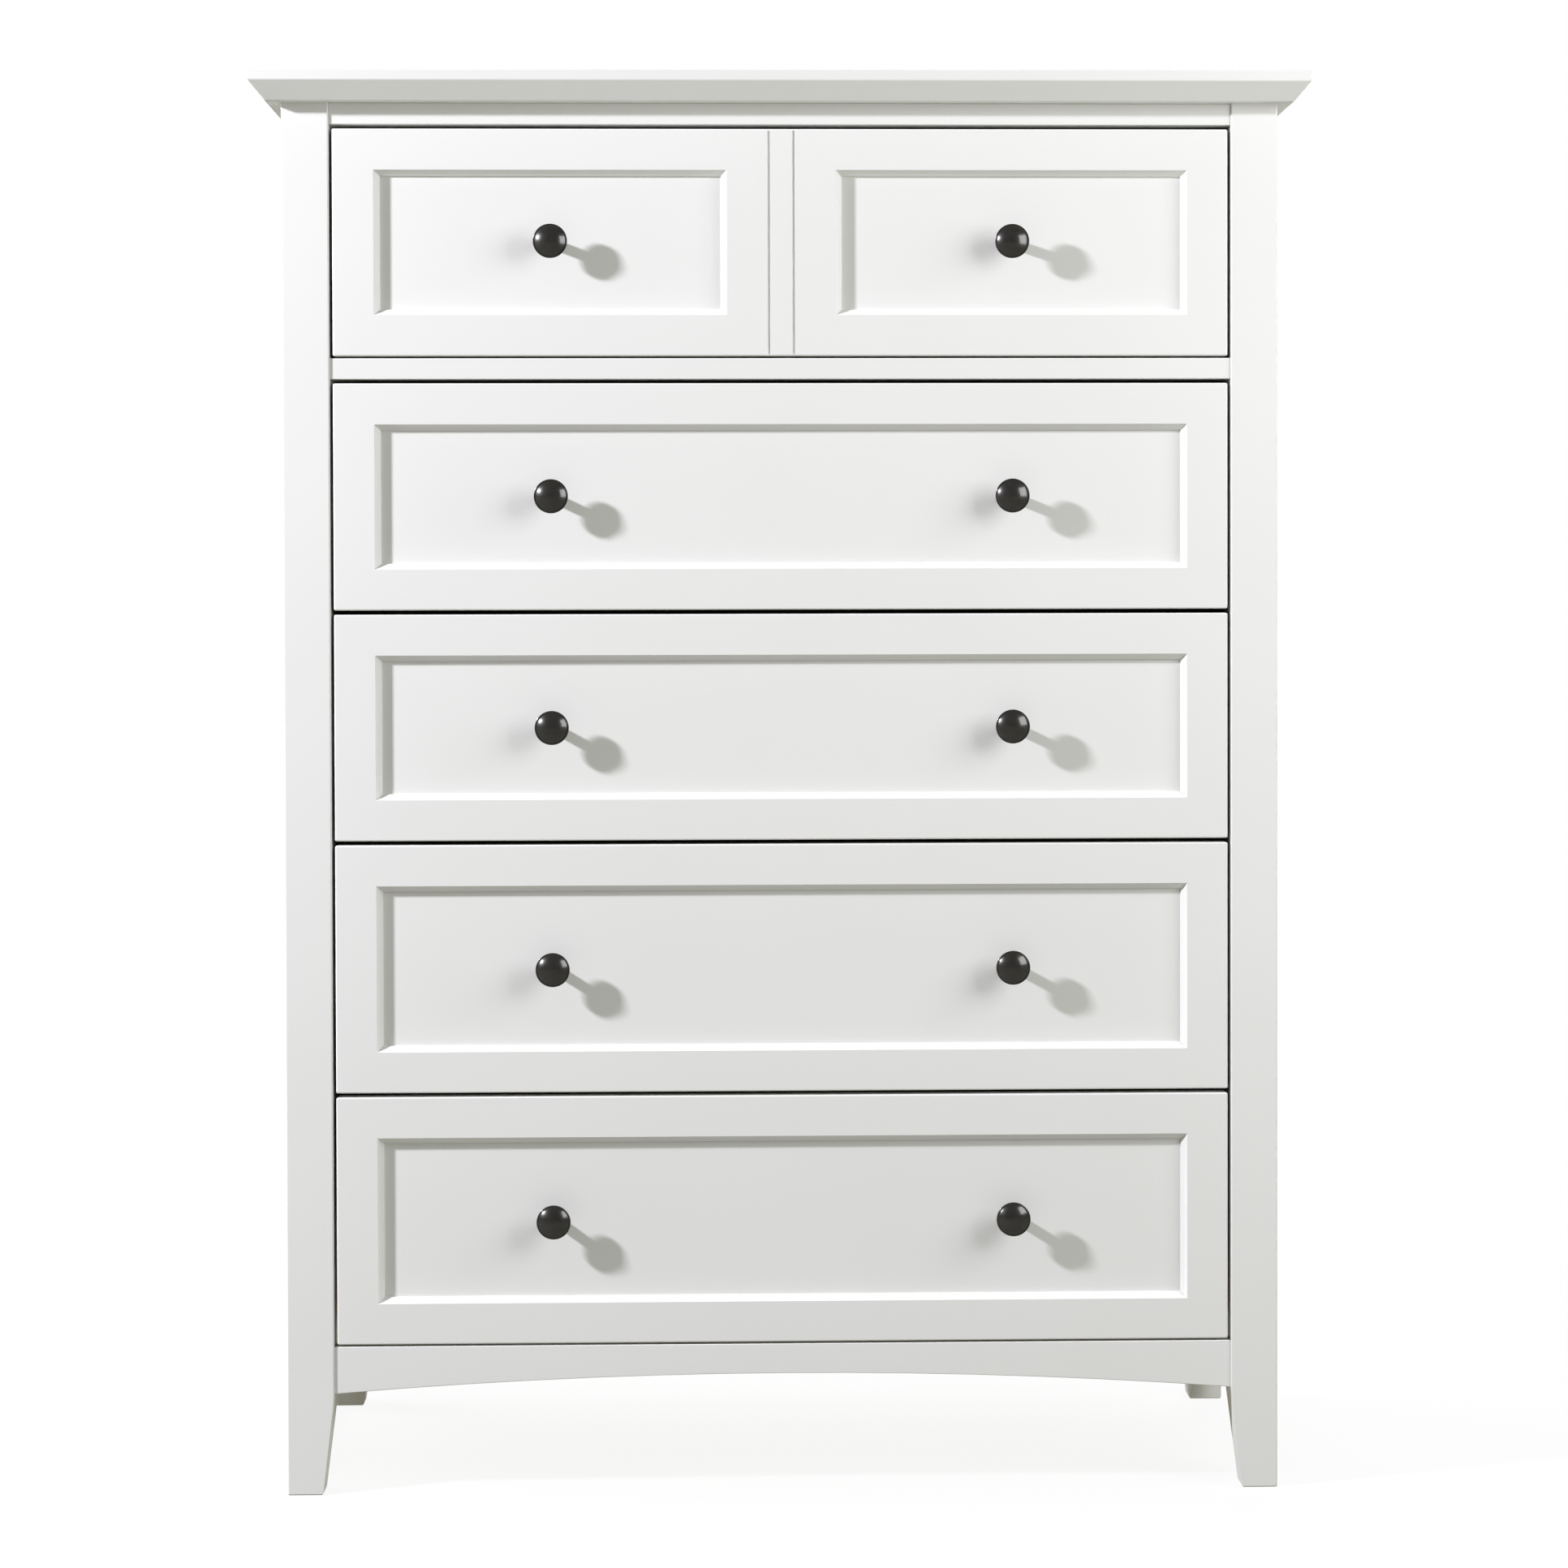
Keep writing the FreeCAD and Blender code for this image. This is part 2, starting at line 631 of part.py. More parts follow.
def mitred_frame(name, left, right, drawer):
    """Two stiles and two rails, mitred round one panel."""
    width = plus(right, minus(left))
    height = front_height(drawer)
    low = low_edge(drawer)
    high = plus(low, height)
    around = [(left, low), (left, high), (right, high), (right, low)]
    pieces = []
    for turn, (x, z) in enumerate(around):
        length = height if turn % 2 == 0 else width
        piece = frame_member(f"{name}_{turn + 1}", length)
        put(piece, x, "Places.face", z, axis=FRONT_TO_BACK, turn=360 / CORNERS * turn)
        pieces.append(piece)
    return pieces


def false_stile(drawer):
    """The centre stile that makes one wide front read as two, with a shallow groove each side."""
    half = "Places.stile_half"
    size = (f"2 * {half}", "Sizes.front_thickness", front_height(drawer))
    blank = board("false_stile_blank", (minus(half), "Places.face", low_edge(drawer)), size)
    quirk = board(
        "left_quirk",
        (minus(half), "Places.face", low_edge(drawer)),
        ("Sizes.quirk_width", "Sizes.quirk_depth", front_height(drawer)),
    )
    other_quirk = mirrored("right_quirk", quirk, SIDEWAYS)
    return cut_away("false_stile", blank, [quirk, other_quirk])


def bored(name, blank, front, thickness, drawer):
    """A board with clearance holes for the knob screws."""
    drills = []
    radius = "Sizes.screw_radius + Sizes.screw_clearance"
    for side, sign in (("left", "-"), ("right", "")):
        x = f"{sign}Sizes.knob_spacing / 2"
        spot = (x, front, knob_height(drawer))
        drills.append(rod(f"{name}_{side}_drill", radius, thickness, spot, SIDEWAYS, -90))
    return cut_away(name, blank, drills)


def knob_height(drawer):
    """The height of a drawer's knobs, at the middle of its front."""
    return plus(low_edge(drawer), f"{front_height(drawer)} / 2")


def panel(name, left, right, drawer):
    """A flat panel in its frame's groove."""
    inset = "Places.frame_inner - Sizes.groove_depth + Sizes.panel_play"
    return board(
        name,
        (plus(left, inset), "Places.panel_face", plus(low_edge(drawer), inset)),
        (
            plus(right, minus(left), f"-2 * ({inset})"),
            "Sizes.panel_thickness",
            plus(front_height(drawer), f"-2 * ({inset})"),
        ),
    )


def drawer_front(drawer):
    """The front of a drawer: its frame as one node and its panels as another."""
    edge = "Places.front_half"
    spans = [("", minus(edge), edge)]
    if drawer == 1:
        inside = "Places.stile_half"
        spans = [("left_", minus(edge), minus(inside)), ("right_", inside, edge)]
    frame = []
    panels = []
    for side, left, right in spans:
        frame += mitred_frame(f"{side}front_member_{drawer}", left, right, drawer)
        panels.append(panel(f"{side}front_panel_blank_{drawer}", left, right, drawer))
    if drawer == 1:
        frame.append(false_stile(drawer))
        whole = group("front_panel_pair", panels)
    else:
        whole = panels[0]
    node = bored(f"drawer_{drawer}_panel", whole, "Places.panel_face", "Sizes.panel_thickness", drawer)
    return [group(f"drawer_{drawer}_front_frame", frame), node]


def box_low(drawer):
    """The lower edge of a drawer box."""
    return plus(low_edge(drawer), "Sizes.box_rise")


def box_height(drawer):
    """The height of a drawer box."""
    return f"{front_height(drawer)} - Sizes.box_rise - Sizes.box_drop"


def drawer_box(drawer):
    """Sides, front and back of a drawer box, grooved for its bottom, and the bottom."""
    low = box_low(drawer)
    height = box_height(drawer)
    thick = "Sizes.board_thickness"
    front = "Places.front_back"
    far = plus(front, "Places.box_length")
    inside = "Places.box_inside"
    reach = f"{inside} + Sizes.bottom_groove"
    bottom_low = plus(low, "Sizes.bottom_rise")
    bottom_size = (
        f"2 * ({reach})",
        f"Places.box_length - 2 * ({thick} - Sizes.bottom_groove)",
        "Sizes.bottom_thickness",
    )
    bottom_corner = (minus(reach), plus(front, thick, "-Sizes.bottom_groove"), bottom_low)
    bottom = board(f"drawer_{drawer}_bottom", bottom_corner, bottom_size)
    size = (thick, "Places.box_length", height)
    left_blank = board(f"left_board_blank_{drawer}", (minus("Places.box_half"), front, low), size)
    left = cut_away(f"left_board_{drawer}", left_blank, [bottom])
    right = mirrored(f"right_board_{drawer}", left, SIDEWAYS)
    across = (f"2 * {inside}", thick, height)
    front_blank = board(f"front_board_blank_{drawer}", (minus(inside), front, low), across)
    grooved = cut_away(f"front_board_grooved_{drawer}", front_blank, [bottom])
    front_board = bored(f"front_board_{drawer}", grooved, front, thick, drawer)
    back_y = plus(far, minus(thick))
    back_blank = board(f"back_board_blank_{drawer}", (minus(inside), back_y, low), across)
    back_board = cut_away(f"back_board_{drawer}", back_blank, [bottom])
    boards = [left, right, front_board, back_board]
    return [group(f"drawer_{drawer}_box", boards), bottom]


def turned(name, profile, arcs=()):
    """A turned piece about the Y axis: X is the radius, Y runs away from the viewer.

    Each entry of arcs is (edge number, radius expression, bulge), where that edge is an arc.
    """
    body = doc.addObject("PartDesign::Body", name)
    sketch = new_sketch(body, f"{name}_profile", "XY_Plane")
    curved = {index: (radius, bulge) for index, radius, bulge in arcs}
    points = [FreeCAD.Vector(number(x), number(y), 0) for x, y in profile]
    tips = []
    for index, start in enumerate(points):
        end = points[(index + 1) % len(points)]
        tips.append(add_edge(sketch, start, end, curved.get(index)))
    for index, corner in enumerate(profile):
        after = (index + 1) % len(profile)
        rule = Sketcher.Constraint("Coincident", index, tips[index][1], after, tips[after][0])
        sketch.addConstraint(rule)
        bind_tip(sketch, index, tips[index][0], corner)
    for index, (radius, _) in curved.items():
        rule = sketch.addConstraint(Sketcher.Constraint("Radius", index, number(radius)))
        sketch.setExpression(f"Constraints[{rule}]", radius)
    spun = body.newObject("PartDesign::Revolution", f"{name}_turned")
    spun.Profile = sketch
    spun.ReferenceAxis = (sketch, ["V_Axis"])
    spun.Angle = 360
    return body


def add_edge(sketch, start, end, bend):
    """Add a line, or an arc of a radius that bulges to one side; say which tips are start and end."""
    if bend is None:
        sketch.addGeometry(Part.LineSegment(start, end))
        return 1, 2
    radius = number(bend[0])
    chord = end - start
    sag = radius - math.sqrt(radius ** 2 - (chord.Length / 2) ** 2)
    across = FreeCAD.Vector(-chord.y, chord.x, 0).normalize()
    crown = (start + end) / 2 + across * sag * bend[1]
    curve = sketch.addGeometry(Part.Arc(start, crown, end))
    to_first = sketch.getPoint(curve, 1) - start
    to_last = sketch.getPoint(curve, 2) - start
    if to_first.Length < to_last.Length:
        return 1, 2
    return 2, 1


def bind_tip(sketch, edge, tip, corner):
    """Bind one tip of an edge to a corner given by two expressions."""
    for kind, expression in zip(("DistanceX", "DistanceY"), corner):
        rule = sketch.addConstraint(Sketcher.Constraint(kind, -1, 1, edge, tip, number(expression)))
        sketch.setExpression(f"Constraints[{rule}]", expression)


def knob(name, x, drawer):
    """A turned knob: seat, straight neck, flat-backed head with a stepped rim and a low dome."""
    depth = "Sizes.knob_projection"
    rim_front = f"{depth} - Sizes.dome_height"
    rim_back = f"{rim_front} - Sizes.rim_height"
    dome = "Sizes.knob_radius - Sizes.rim_width"
    hole = "Sizes.screw_radius + Sizes.thread_clearance"
    grip = "Sizes.screw_grip + Sizes.thread_clearance"
    seat_slope = "Sizes.base_radius - Sizes.neck_radius"
    profile = [
        (hole, "0"),
        ("Sizes.base_radius", "0"),
        ("Sizes.base_radius", "-Sizes.base_height"),
        ("Sizes.neck_radius", f"-Sizes.base_height - ({seat_slope}) / 2"),
        ("Sizes.neck_radius", f"Sizes.neck_flare - ({rim_back})"),
        ("Sizes.neck_radius + Sizes.neck_flare", minus(rim_back)),
        ("Sizes.knob_radius", minus(rim_back)),
        ("Sizes.knob_radius", minus(rim_front)),
        (dome, minus(rim_front)),
        ("0", minus(depth)),
        ("0", minus(grip)),
        (hole, minus(grip)),
    ]
    cap = f"(({dome}) ^ 2 + Sizes.dome_height ^ 2) / (2 * Sizes.dome_height)"
    body = turned(name, profile, [(4, "Sizes.neck_flare", 1), (8, cap, 1)])
    return put(body, x, "Places.panel_face", knob_height(drawer))


def screw(name, x, drawer):
    """A knob screw: pan head inside the drawer, shank through the box front and the panel."""
    seat = plus("Places.front_back", "Sizes.board_thickness", minus("Places.panel_face"))
    head = plus(seat, "Sizes.head_height")
    shank = "Sizes.screw_radius"
    shoulder = plus(seat, "Sizes.head_height / 2")
    crown = "Sizes.head_radius * 0.6"
    profile = [
        ("0", "-Sizes.screw_grip"),
        (shank, "-Sizes.screw_grip"),
        (shank, seat),
        ("Sizes.head_radius", seat),
        ("Sizes.head_radius", shoulder),
        (crown, head),
        ("0", head),
    ]
    return put(turned(name, profile), x, "Places.panel_face", knob_height(drawer))


def knob_set(drawer):
    """The two knobs of a drawer and their screws."""
    spots = (("left", "-Sizes.knob_spacing / 2"), ("right", "Sizes.knob_spacing / 2"))
    knobs = [knob(f"{side}_knob_{drawer}", x, drawer) for side, x in spots]
    screws = [screw(f"{side}_screw_{drawer}", x, drawer) for side, x in spots]
    return [group(f"drawer_{drawer}_knobs", knobs), group(f"drawer_{drawer}_screws", screws)]


def case():
    """Everything that stands still."""
    nodes = [top_panel()] + posts() + sides()
    nodes.append(front_rail("top_rail", "Places.top_rail_low", "Sizes.top_rail_height"))
    nodes.append(front_rail("middle_rail", "Places.middle_rail_low", "Sizes.middle_rail_height"))
    nodes.append(apron())
    nodes += rear()
    nodes.append(corner_blocks())
    nodes.append(cleats())
    numbers = range(1, DRAWERS + 1)
    nodes.append(both_sides("case_slides", [case_member(drawer) for drawer in numbers]))
    return nodes


def moving(drawer):
    """Everything that moves with one drawer, and its middle slide members."""
    nodes = drawer_front(drawer) + drawer_box(drawer) + knob_set(drawer)
    return nodes + [drawer_member(drawer), middle_member(drawer)]


def check(nodes):
    """Stop if anything in the document failed, a cut took nothing away, or a node isn't sound."""
    for item in doc.Objects:
        if {"Invalid", "Error"} & set(item.State):
            raise RuntimeError(f"{item.Name} is {item.State}: {item.getStatusString()}")
        if item.TypeId == "PartDesign::Pocket":
            before = item.BaseFeature.Shape.Volume
            if item.Shape.Volume > before - 1:
                raise RuntimeError(f"{item.Name} cuts nothing")
    for node in nodes:
        if node.Shape.isNull() or not node.Shape.isValid() or not node.Shape.Solids:
            raise RuntimeError(f"{node.Label} is not a sound solid")


def write(nodes):
    """Write each node as its own file."""
    os.makedirs("parts", exist_ok=True)
    for node in nodes:
        node.Shape.exportStep(f"parts/{node.Label}.step")
        box = node.Shape.BoundBox
        low = f"{box.XMin:.1f} {box.YMin:.1f} {box.ZMin:.1f}"
        high = f"{box.XMax:.1f} {box.YMax:.1f} {box.ZMax:.1f}"
        print(f"{node.Label}: {len(node.Shape.Solids)} solids, {low} to {high}")


def main():
    """Build the chest, check it and write its nodes."""
    nodes = case()
    for drawer in range(1, DRAWERS + 1):
        nodes += moving(drawer)
    for node in nodes:
        node.Label = node.Name
    doc.recompute()
    check(nodes)
    write(nodes)
    print(len(nodes), "nodes")


main()
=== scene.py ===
"""Finishes, drawer fronts, knobs, fittings and a plain studio for the tall chest of drawers."""

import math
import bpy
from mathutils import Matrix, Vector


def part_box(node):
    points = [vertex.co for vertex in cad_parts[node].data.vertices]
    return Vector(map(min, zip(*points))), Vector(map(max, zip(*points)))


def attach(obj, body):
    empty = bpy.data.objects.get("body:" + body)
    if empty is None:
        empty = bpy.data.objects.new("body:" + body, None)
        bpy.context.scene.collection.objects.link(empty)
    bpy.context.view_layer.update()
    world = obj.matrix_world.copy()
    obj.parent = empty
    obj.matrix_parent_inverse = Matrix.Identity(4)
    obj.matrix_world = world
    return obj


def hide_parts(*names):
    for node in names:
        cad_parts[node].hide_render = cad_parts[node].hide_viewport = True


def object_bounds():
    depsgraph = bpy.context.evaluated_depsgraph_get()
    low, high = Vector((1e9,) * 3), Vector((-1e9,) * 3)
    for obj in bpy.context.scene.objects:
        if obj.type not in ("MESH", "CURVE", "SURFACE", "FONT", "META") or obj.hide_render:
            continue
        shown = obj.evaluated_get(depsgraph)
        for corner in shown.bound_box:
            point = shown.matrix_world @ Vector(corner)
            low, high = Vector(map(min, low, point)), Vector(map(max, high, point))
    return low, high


bl_info = {
    "name": "Tall Chest of Drawers",
    "version": (1, 0, 0),
    "blender": (4, 5, 0),
    "location": "3D View > Sidebar > Chest",
    "description": "Finishes, fronts, knobs and fittings for the tall chest, and a plain studio",
    "category": "Object",
}

import bmesh
import bpy
from bpy.props import FloatProperty, FloatVectorProperty, IntProperty, PointerProperty
from mathutils import Matrix, Vector

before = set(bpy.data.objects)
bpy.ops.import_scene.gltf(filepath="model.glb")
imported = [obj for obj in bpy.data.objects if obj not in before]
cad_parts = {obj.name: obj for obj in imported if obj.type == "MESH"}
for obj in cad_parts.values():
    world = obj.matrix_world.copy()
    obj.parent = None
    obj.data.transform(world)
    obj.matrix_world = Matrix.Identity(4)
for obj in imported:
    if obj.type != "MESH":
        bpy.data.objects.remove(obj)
CAD_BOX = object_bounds()

MM = 0.001
DRAWERS = (1, 2, 3, 4, 5)
EASED_ANGLE = math.radians(35)  # a board's edge that turns by more than this is rounded
SHARP_ANGLE = math.radians(38)  # a made piece's edge that turns by more than this stays crisp
WHITE = (1, 1, 1, 1)
SOFT_WHITE = (1.0, 1.0, 1.02)

# Each light's name, the length of its side in metres, and its tint.
LIGHTS = (
    ("key", 0.2, (1.0, 0.995, 1.08)),
    ("fill", 1.3, SOFT_WHITE),
    ("top", 1.5, SOFT_WHITE),
    ("rear", 2.0, SOFT_WHITE),
    ("left", 2.0, SOFT_WHITE),
)

CASE_BOARDS = (
    "top_panel",
    "front_left_post",
    "front_right_post",
    "rear_left_post",
    "rear_right_post",
    "left_side_panel",
    "right_side_panel",
    "left_upper_side_rail",
    "left_lower_side_rail",
    "right_upper_side_rail",
    "right_lower_side_rail",
    "top_rail",
    "middle_rail",
    "apron",
)
FRAMING = ("rear_upper_rail", "rear_lower_rail", "corner_blocks")


def linear(code):
    """An sRGB hex colour as the linear red, green and blue that a shader takes."""
    shares = [int(code[i : i + 2], 16) / 255 for i in (0, 2, 4)]
    return [s / 12.92 if s <= 0.04045 else ((s + 0.055) / 1.055) ** 2.4 for s in shares]


def rgba(colour):
    """A colour with full opacity."""
    return (*colour[:3], 1.0)


# ---------------------------------------------------------------- settings


class StudioSettings(bpy.types.PropertyGroup):
    """The floor, the lights and the camera."""

    camera_place: FloatVectorProperty(
        name="Camera Place",
        description="Where the camera stands, on the floor's frame",
        default=(-0.05918, -3.6034, 0.82802),
        subtype="TRANSLATION",
        unit="LENGTH",
    )
    camera_turn: FloatVectorProperty(
        name="Camera Turn",
        description="The camera's rotation about X, Y and Z",
        default=(math.radians(88.9108), math.radians(0.1378), math.radians(-1.5381)),
        subtype="EULER",
        unit="ROTATION",
    )
    focal_length: FloatProperty(
        name="Focal Length",
        description="The lens, in millimetres",
        default=83.16,
        min=20,
        max=300,
    )
    lens_shift: FloatVectorProperty(
        name="Lens Shift",
        description="The lens's shift across and up, as a share of the frame",
        size=2,
        default=(-0.0207, -0.0647),
    )
    key_place: FloatVectorProperty(
        name="Key Light Place",
        description="The small soft light to the front left that draws the knobs' shadows",
        default=(-2.82, -1.34, 2.17),
        subtype="TRANSLATION",
        unit="LENGTH",
    )
    key_power: FloatProperty(
        name="Key Power", description="Power of the key light, in watts", default=137, min=0
    )
    fill_place: FloatVectorProperty(
        name="Fill Light Place",
        description="The large soft light to the front right",
        default=(1.8, -1.25, 1.5),
        subtype="TRANSLATION",
        unit="LENGTH",
    )
    fill_power: FloatProperty(
        name="Fill Power", description="Power of the fill light, in watts", default=33, min=0
    )
    top_place: FloatVectorProperty(
        name="Top Light Place",
        description="The large soft light over the chest",
        default=(0.0, 0.95, 3.6),
        subtype="TRANSLATION",
        unit="LENGTH",
    )
    top_power: FloatProperty(
        name="Top Power", description="Power of the top light, in watts", default=26, min=0
    )
    rear_place: FloatVectorProperty(
        name="Rear Light Place",
        description="The large soft light behind the chest",
        default=(0.9, 3.4, 2.0),
        subtype="TRANSLATION",
        unit="LENGTH",
    )
    rear_power: FloatProperty(
        name="Rear Power", description="Power of the rear light, in watts", default=70, min=0
    )
    left_place: FloatVectorProperty(
        name="Left Light Place",
        description="The large soft light to the rear left",
        default=(-3.2, 1.6, 1.8),
        subtype="TRANSLATION",
        unit="LENGTH",
    )
    left_power: FloatProperty(
        name="Left Power", description="Power of the left light, in watts", default=85, min=0
    )
    room_light: FloatProperty(
        name="Room Light", description="Strength of the room's even light", default=0.105, min=0
    )
    floor_colour: FloatVectorProperty(
        name="Floor Colour",
        description="The painted studio floor",
        default=linear("F6F6F4"),
        subtype="COLOR",
        min=0,
        max=1,
    )


class LacquerSettings(bpy.types.PropertyGroup):
    """The white sprayed lacquer on every outside board."""

    colour: FloatVectorProperty(
        name="Colour",
        description="White of the lacquer where the film is full",
        default=linear("F3F3F1"),
        subtype="COLOR",
        min=0,
        max=1,
    )
    thin_colour: FloatVectorProperty(
        name="Thin Colour",
        description="White of the lacquer where the film is a little thinner",
        default=linear("F0F0ED"),
        subtype="COLOR",
        min=0,
        max=1,
    )
    edge_round: FloatProperty(
        name="Edge Rounding",
        description="Radius that sanding and paint leave on a board's arrises",
        default=0.8 * MM,
        min=0,
        unit="LENGTH",
    )


class TimberSettings(bpy.types.PropertyGroup):
    """The unpainted wood inside the chest."""

    early_colour: FloatVectorProperty(
        name="Early Wood",
        description="The pale wood between the growth lines",
        default=linear("E2CDA8"),
        subtype="COLOR",
        min=0,
        max=1,
    )
    late_colour: FloatVectorProperty(
        name="Late Wood",
        description="The darker growth lines",
        default=linear("C6A67A"),
        subtype="COLOR",
        min=0,
        max=1,
    )


class FrontSettings(bpy.types.PropertyGroup):
    """The framed drawer fronts."""

    flat_width: FloatProperty(
        name="Flat Width",
        description="Flat of the frame, from its outer edge to the bevel",
        default=38.5 * MM,
        unit="LENGTH",
    )
    bevel_width: FloatProperty(
        name="Bevel Width",
        description="Width of the bevel round the panel",
        default=5.3 * MM,
        unit="LENGTH",
    )
    bevel_depth: FloatProperty(
        name="Bevel Depth", description="Fall of the bevel", default=5.8 * MM, unit="LENGTH"
    )
    bevel_hollow: FloatProperty(
        name="Bevel Hollow",
        description="How far the bevel is hollowed",
        default=0.45 * MM,
        unit="LENGTH",
    )
    groove_depth: FloatProperty(
        name="Panel Groove",
        description="Depth of the groove that holds the panel",
        default=8 * MM,
        unit="LENGTH",
    )
    edge_round: FloatProperty(
        name="Edge Rounding",
        description="Radius of the front's outer arris",
        default=1.5 * MM,
        unit="LENGTH",
    )
    corner_round: FloatProperty(
        name="Corner Rounding",
        description="Radius of the front's outer corners",
        default=1.8 * MM,
        unit="LENGTH",
    )
    stile_width: FloatProperty(
        name="Stile Width",
        description="Face of the false centre stile",
        default=20.9 * MM,
        unit="LENGTH",
    )
    quirk_width: FloatProperty(
        name="Quirk Width",
        description="Groove on each side of the stile",
        default=2.3 * MM,
        unit="LENGTH",
    )
    quirk_depth: FloatProperty(
        name="Quirk Depth",
        description="Depth of the stile's grooves",
        default=1.4 * MM,
        unit="LENGTH",
    )


class KnobSettings(bpy.types.PropertyGroup):
    """The round metal knobs."""

    colour: FloatVectorProperty(
        name="Colour",
        description="The dark patina",
        default=linear("2B2A28"),
        subtype="COLOR",
        min=0,
        max=1,
    )
    worn_colour: FloatVectorProperty(
        name="Worn Colour",
        description="The patina where it is a little thinner",
        default=linear("3A3733"),
        subtype="COLOR",
        min=0,
        max=1,
    )
    spacing: FloatProperty(
        name="Spacing",
        description="Distance between a drawer's two knobs",
        default=432 * MM,
        unit="LENGTH",
    )
    projection: FloatProperty(
        name="Projection",
        description="Knob's height over the panel",
        default=27 * MM,
        unit="LENGTH",
    )
    head_radius: FloatProperty(
        name="Head Radius", description="Rim of the head", default=16 * MM, unit="LENGTH"
    )
    dome_radius: FloatProperty(
        name="Dome Radius",
        description="Foot of the dome inside the rim",
        default=14.2 * MM,
        unit="LENGTH",
    )
    dome_height: FloatProperty(
        name="Dome Height", description="Dome over the rim", default=5 * MM, unit="LENGTH"
    )
    segments: IntProperty(
        name="Segments", description="Facets round a knob", default=96, min=16, max=256
    )


class FittingSettings(bpy.types.PropertyGroup):
    """The steel fittings: slide screws and back nails."""

    web_thickness: FloatProperty(
        name="Web Thickness",
        description="Steel of the drawer member's web",
        default=1.2 * MM,
        unit="LENGTH",
    )
    screw_radius: FloatProperty(
        name="Screw Head Radius",
        description="Pan head of the slide screws",
        default=3.6 * MM,
        unit="LENGTH",
    )
    screw_height: FloatProperty(
        name="Screw Head Height",
        description="Pan head over the slide's web",
        default=1.7 * MM,
        unit="LENGTH",
    )
    nail_radius: FloatProperty(
        name="Nail Head Radius",
        description="Heads of the nails in the back",
        default=2.4 * MM,
        unit="LENGTH",
    )
    nail_height: FloatProperty(
        name="Nail Head Height",
        description="Nail heads over the back board",
        default=0.5 * MM,
        unit="LENGTH",
    )
    nail_spacing: FloatProperty(
        name="Nail Spacing",
        description="Distance between the back's nails",
        default=95 * MM,
        unit="LENGTH",
    )


# ---------------------------------------------------------------- materials


def node(tree, kind, settings=None, **inputs):
    """Add a shader node, set its properties, and set or link its inputs.
    An input is given by name, with _ for a space, or by number, as in _0."""
    made = tree.nodes.new(kind)
    for name, value in (settings or {}).items():
        setattr(made, name, value)
    for name, value in inputs.items():
        plain = name.replace("_", " ")
        socket = made.inputs[int(plain[1:])] if plain[1:].isdigit() else made.inputs[plain]
        if isinstance(value, bpy.types.NodeSocket):
            tree.links.new(value, socket)
        else:
            socket.default_value = value
    return made


def new_material(name):
    """An empty material with its output node; returns the material, its tree and its output."""
    material = bpy.data.materials.new(name)
    material.use_nodes = True
    tree = material.node_tree
    tree.nodes.clear()
    return material, tree, node(tree, "ShaderNodeOutputMaterial")


def lacquer_finish(settings):
    """Sprayed white lacquer over sanded wood: soft satin, with a faint orange peel and an even
    white film."""
    film_patch = 140 * MM
    peel_cell = 4.0 * MM  # real orange peel is about 1.5 mm, too fine to show
    grain_width = 3.0 * MM
    grain_length = 160 * MM
    material, tree, output = new_material("sprayed_white_lacquer")
    place = node(tree, "ShaderNodeTexCoord").outputs["Object"]
    patches = node(tree, "ShaderNodeTexNoise", Vector=place, Scale=1 / film_patch, Detail=3.0)
    film = node(
        tree,
        "ShaderNodeMix",
        {"data_type": "RGBA"},
        _0=patches.outputs["Fac"],
        _6=rgba(settings.thin_colour),
        _7=rgba(settings.colour),
    )
    peel = node(tree, "ShaderNodeTexNoise", Vector=place, Scale=1 / peel_cell, Detail=1.0)
    along = node(
        tree,
        "ShaderNodeMapping",
        Vector=place,
        Scale=(1 / grain_length, 1 / grain_width, 1 / grain_width),
    )
    grain = node(tree, "ShaderNodeTexNoise", Vector=along.outputs["Vector"], Scale=1.0, Detail=2.0)
    relief = node(
        tree,
        "ShaderNodeMath",
        {"operation": "ADD"},
        _0=peel.outputs["Fac"],
        _1=grain.outputs["Fac"],
    )
    bump = node(
        tree,
        "ShaderNodeBump",
        Strength=0.06,
        Distance=0.12 * MM,
        Height=relief.outputs["Value"],
    )
    gloss = node(
        tree,
        "ShaderNodeMapRange",
        Value=patches.outputs["Fac"],
        To_Min=0.40,
        To_Max=0.46,
    )
    shader = node(
        tree,
        "ShaderNodeBsdfPrincipled",
        Base_Color=film.outputs[2],
        Roughness=gloss.outputs["Result"],
        IOR=1.5,
        Normal=bump.outputs["Normal"],
    )
    tree.links.new(shader.outputs["BSDF"], output.inputs["Surface"])
    return material


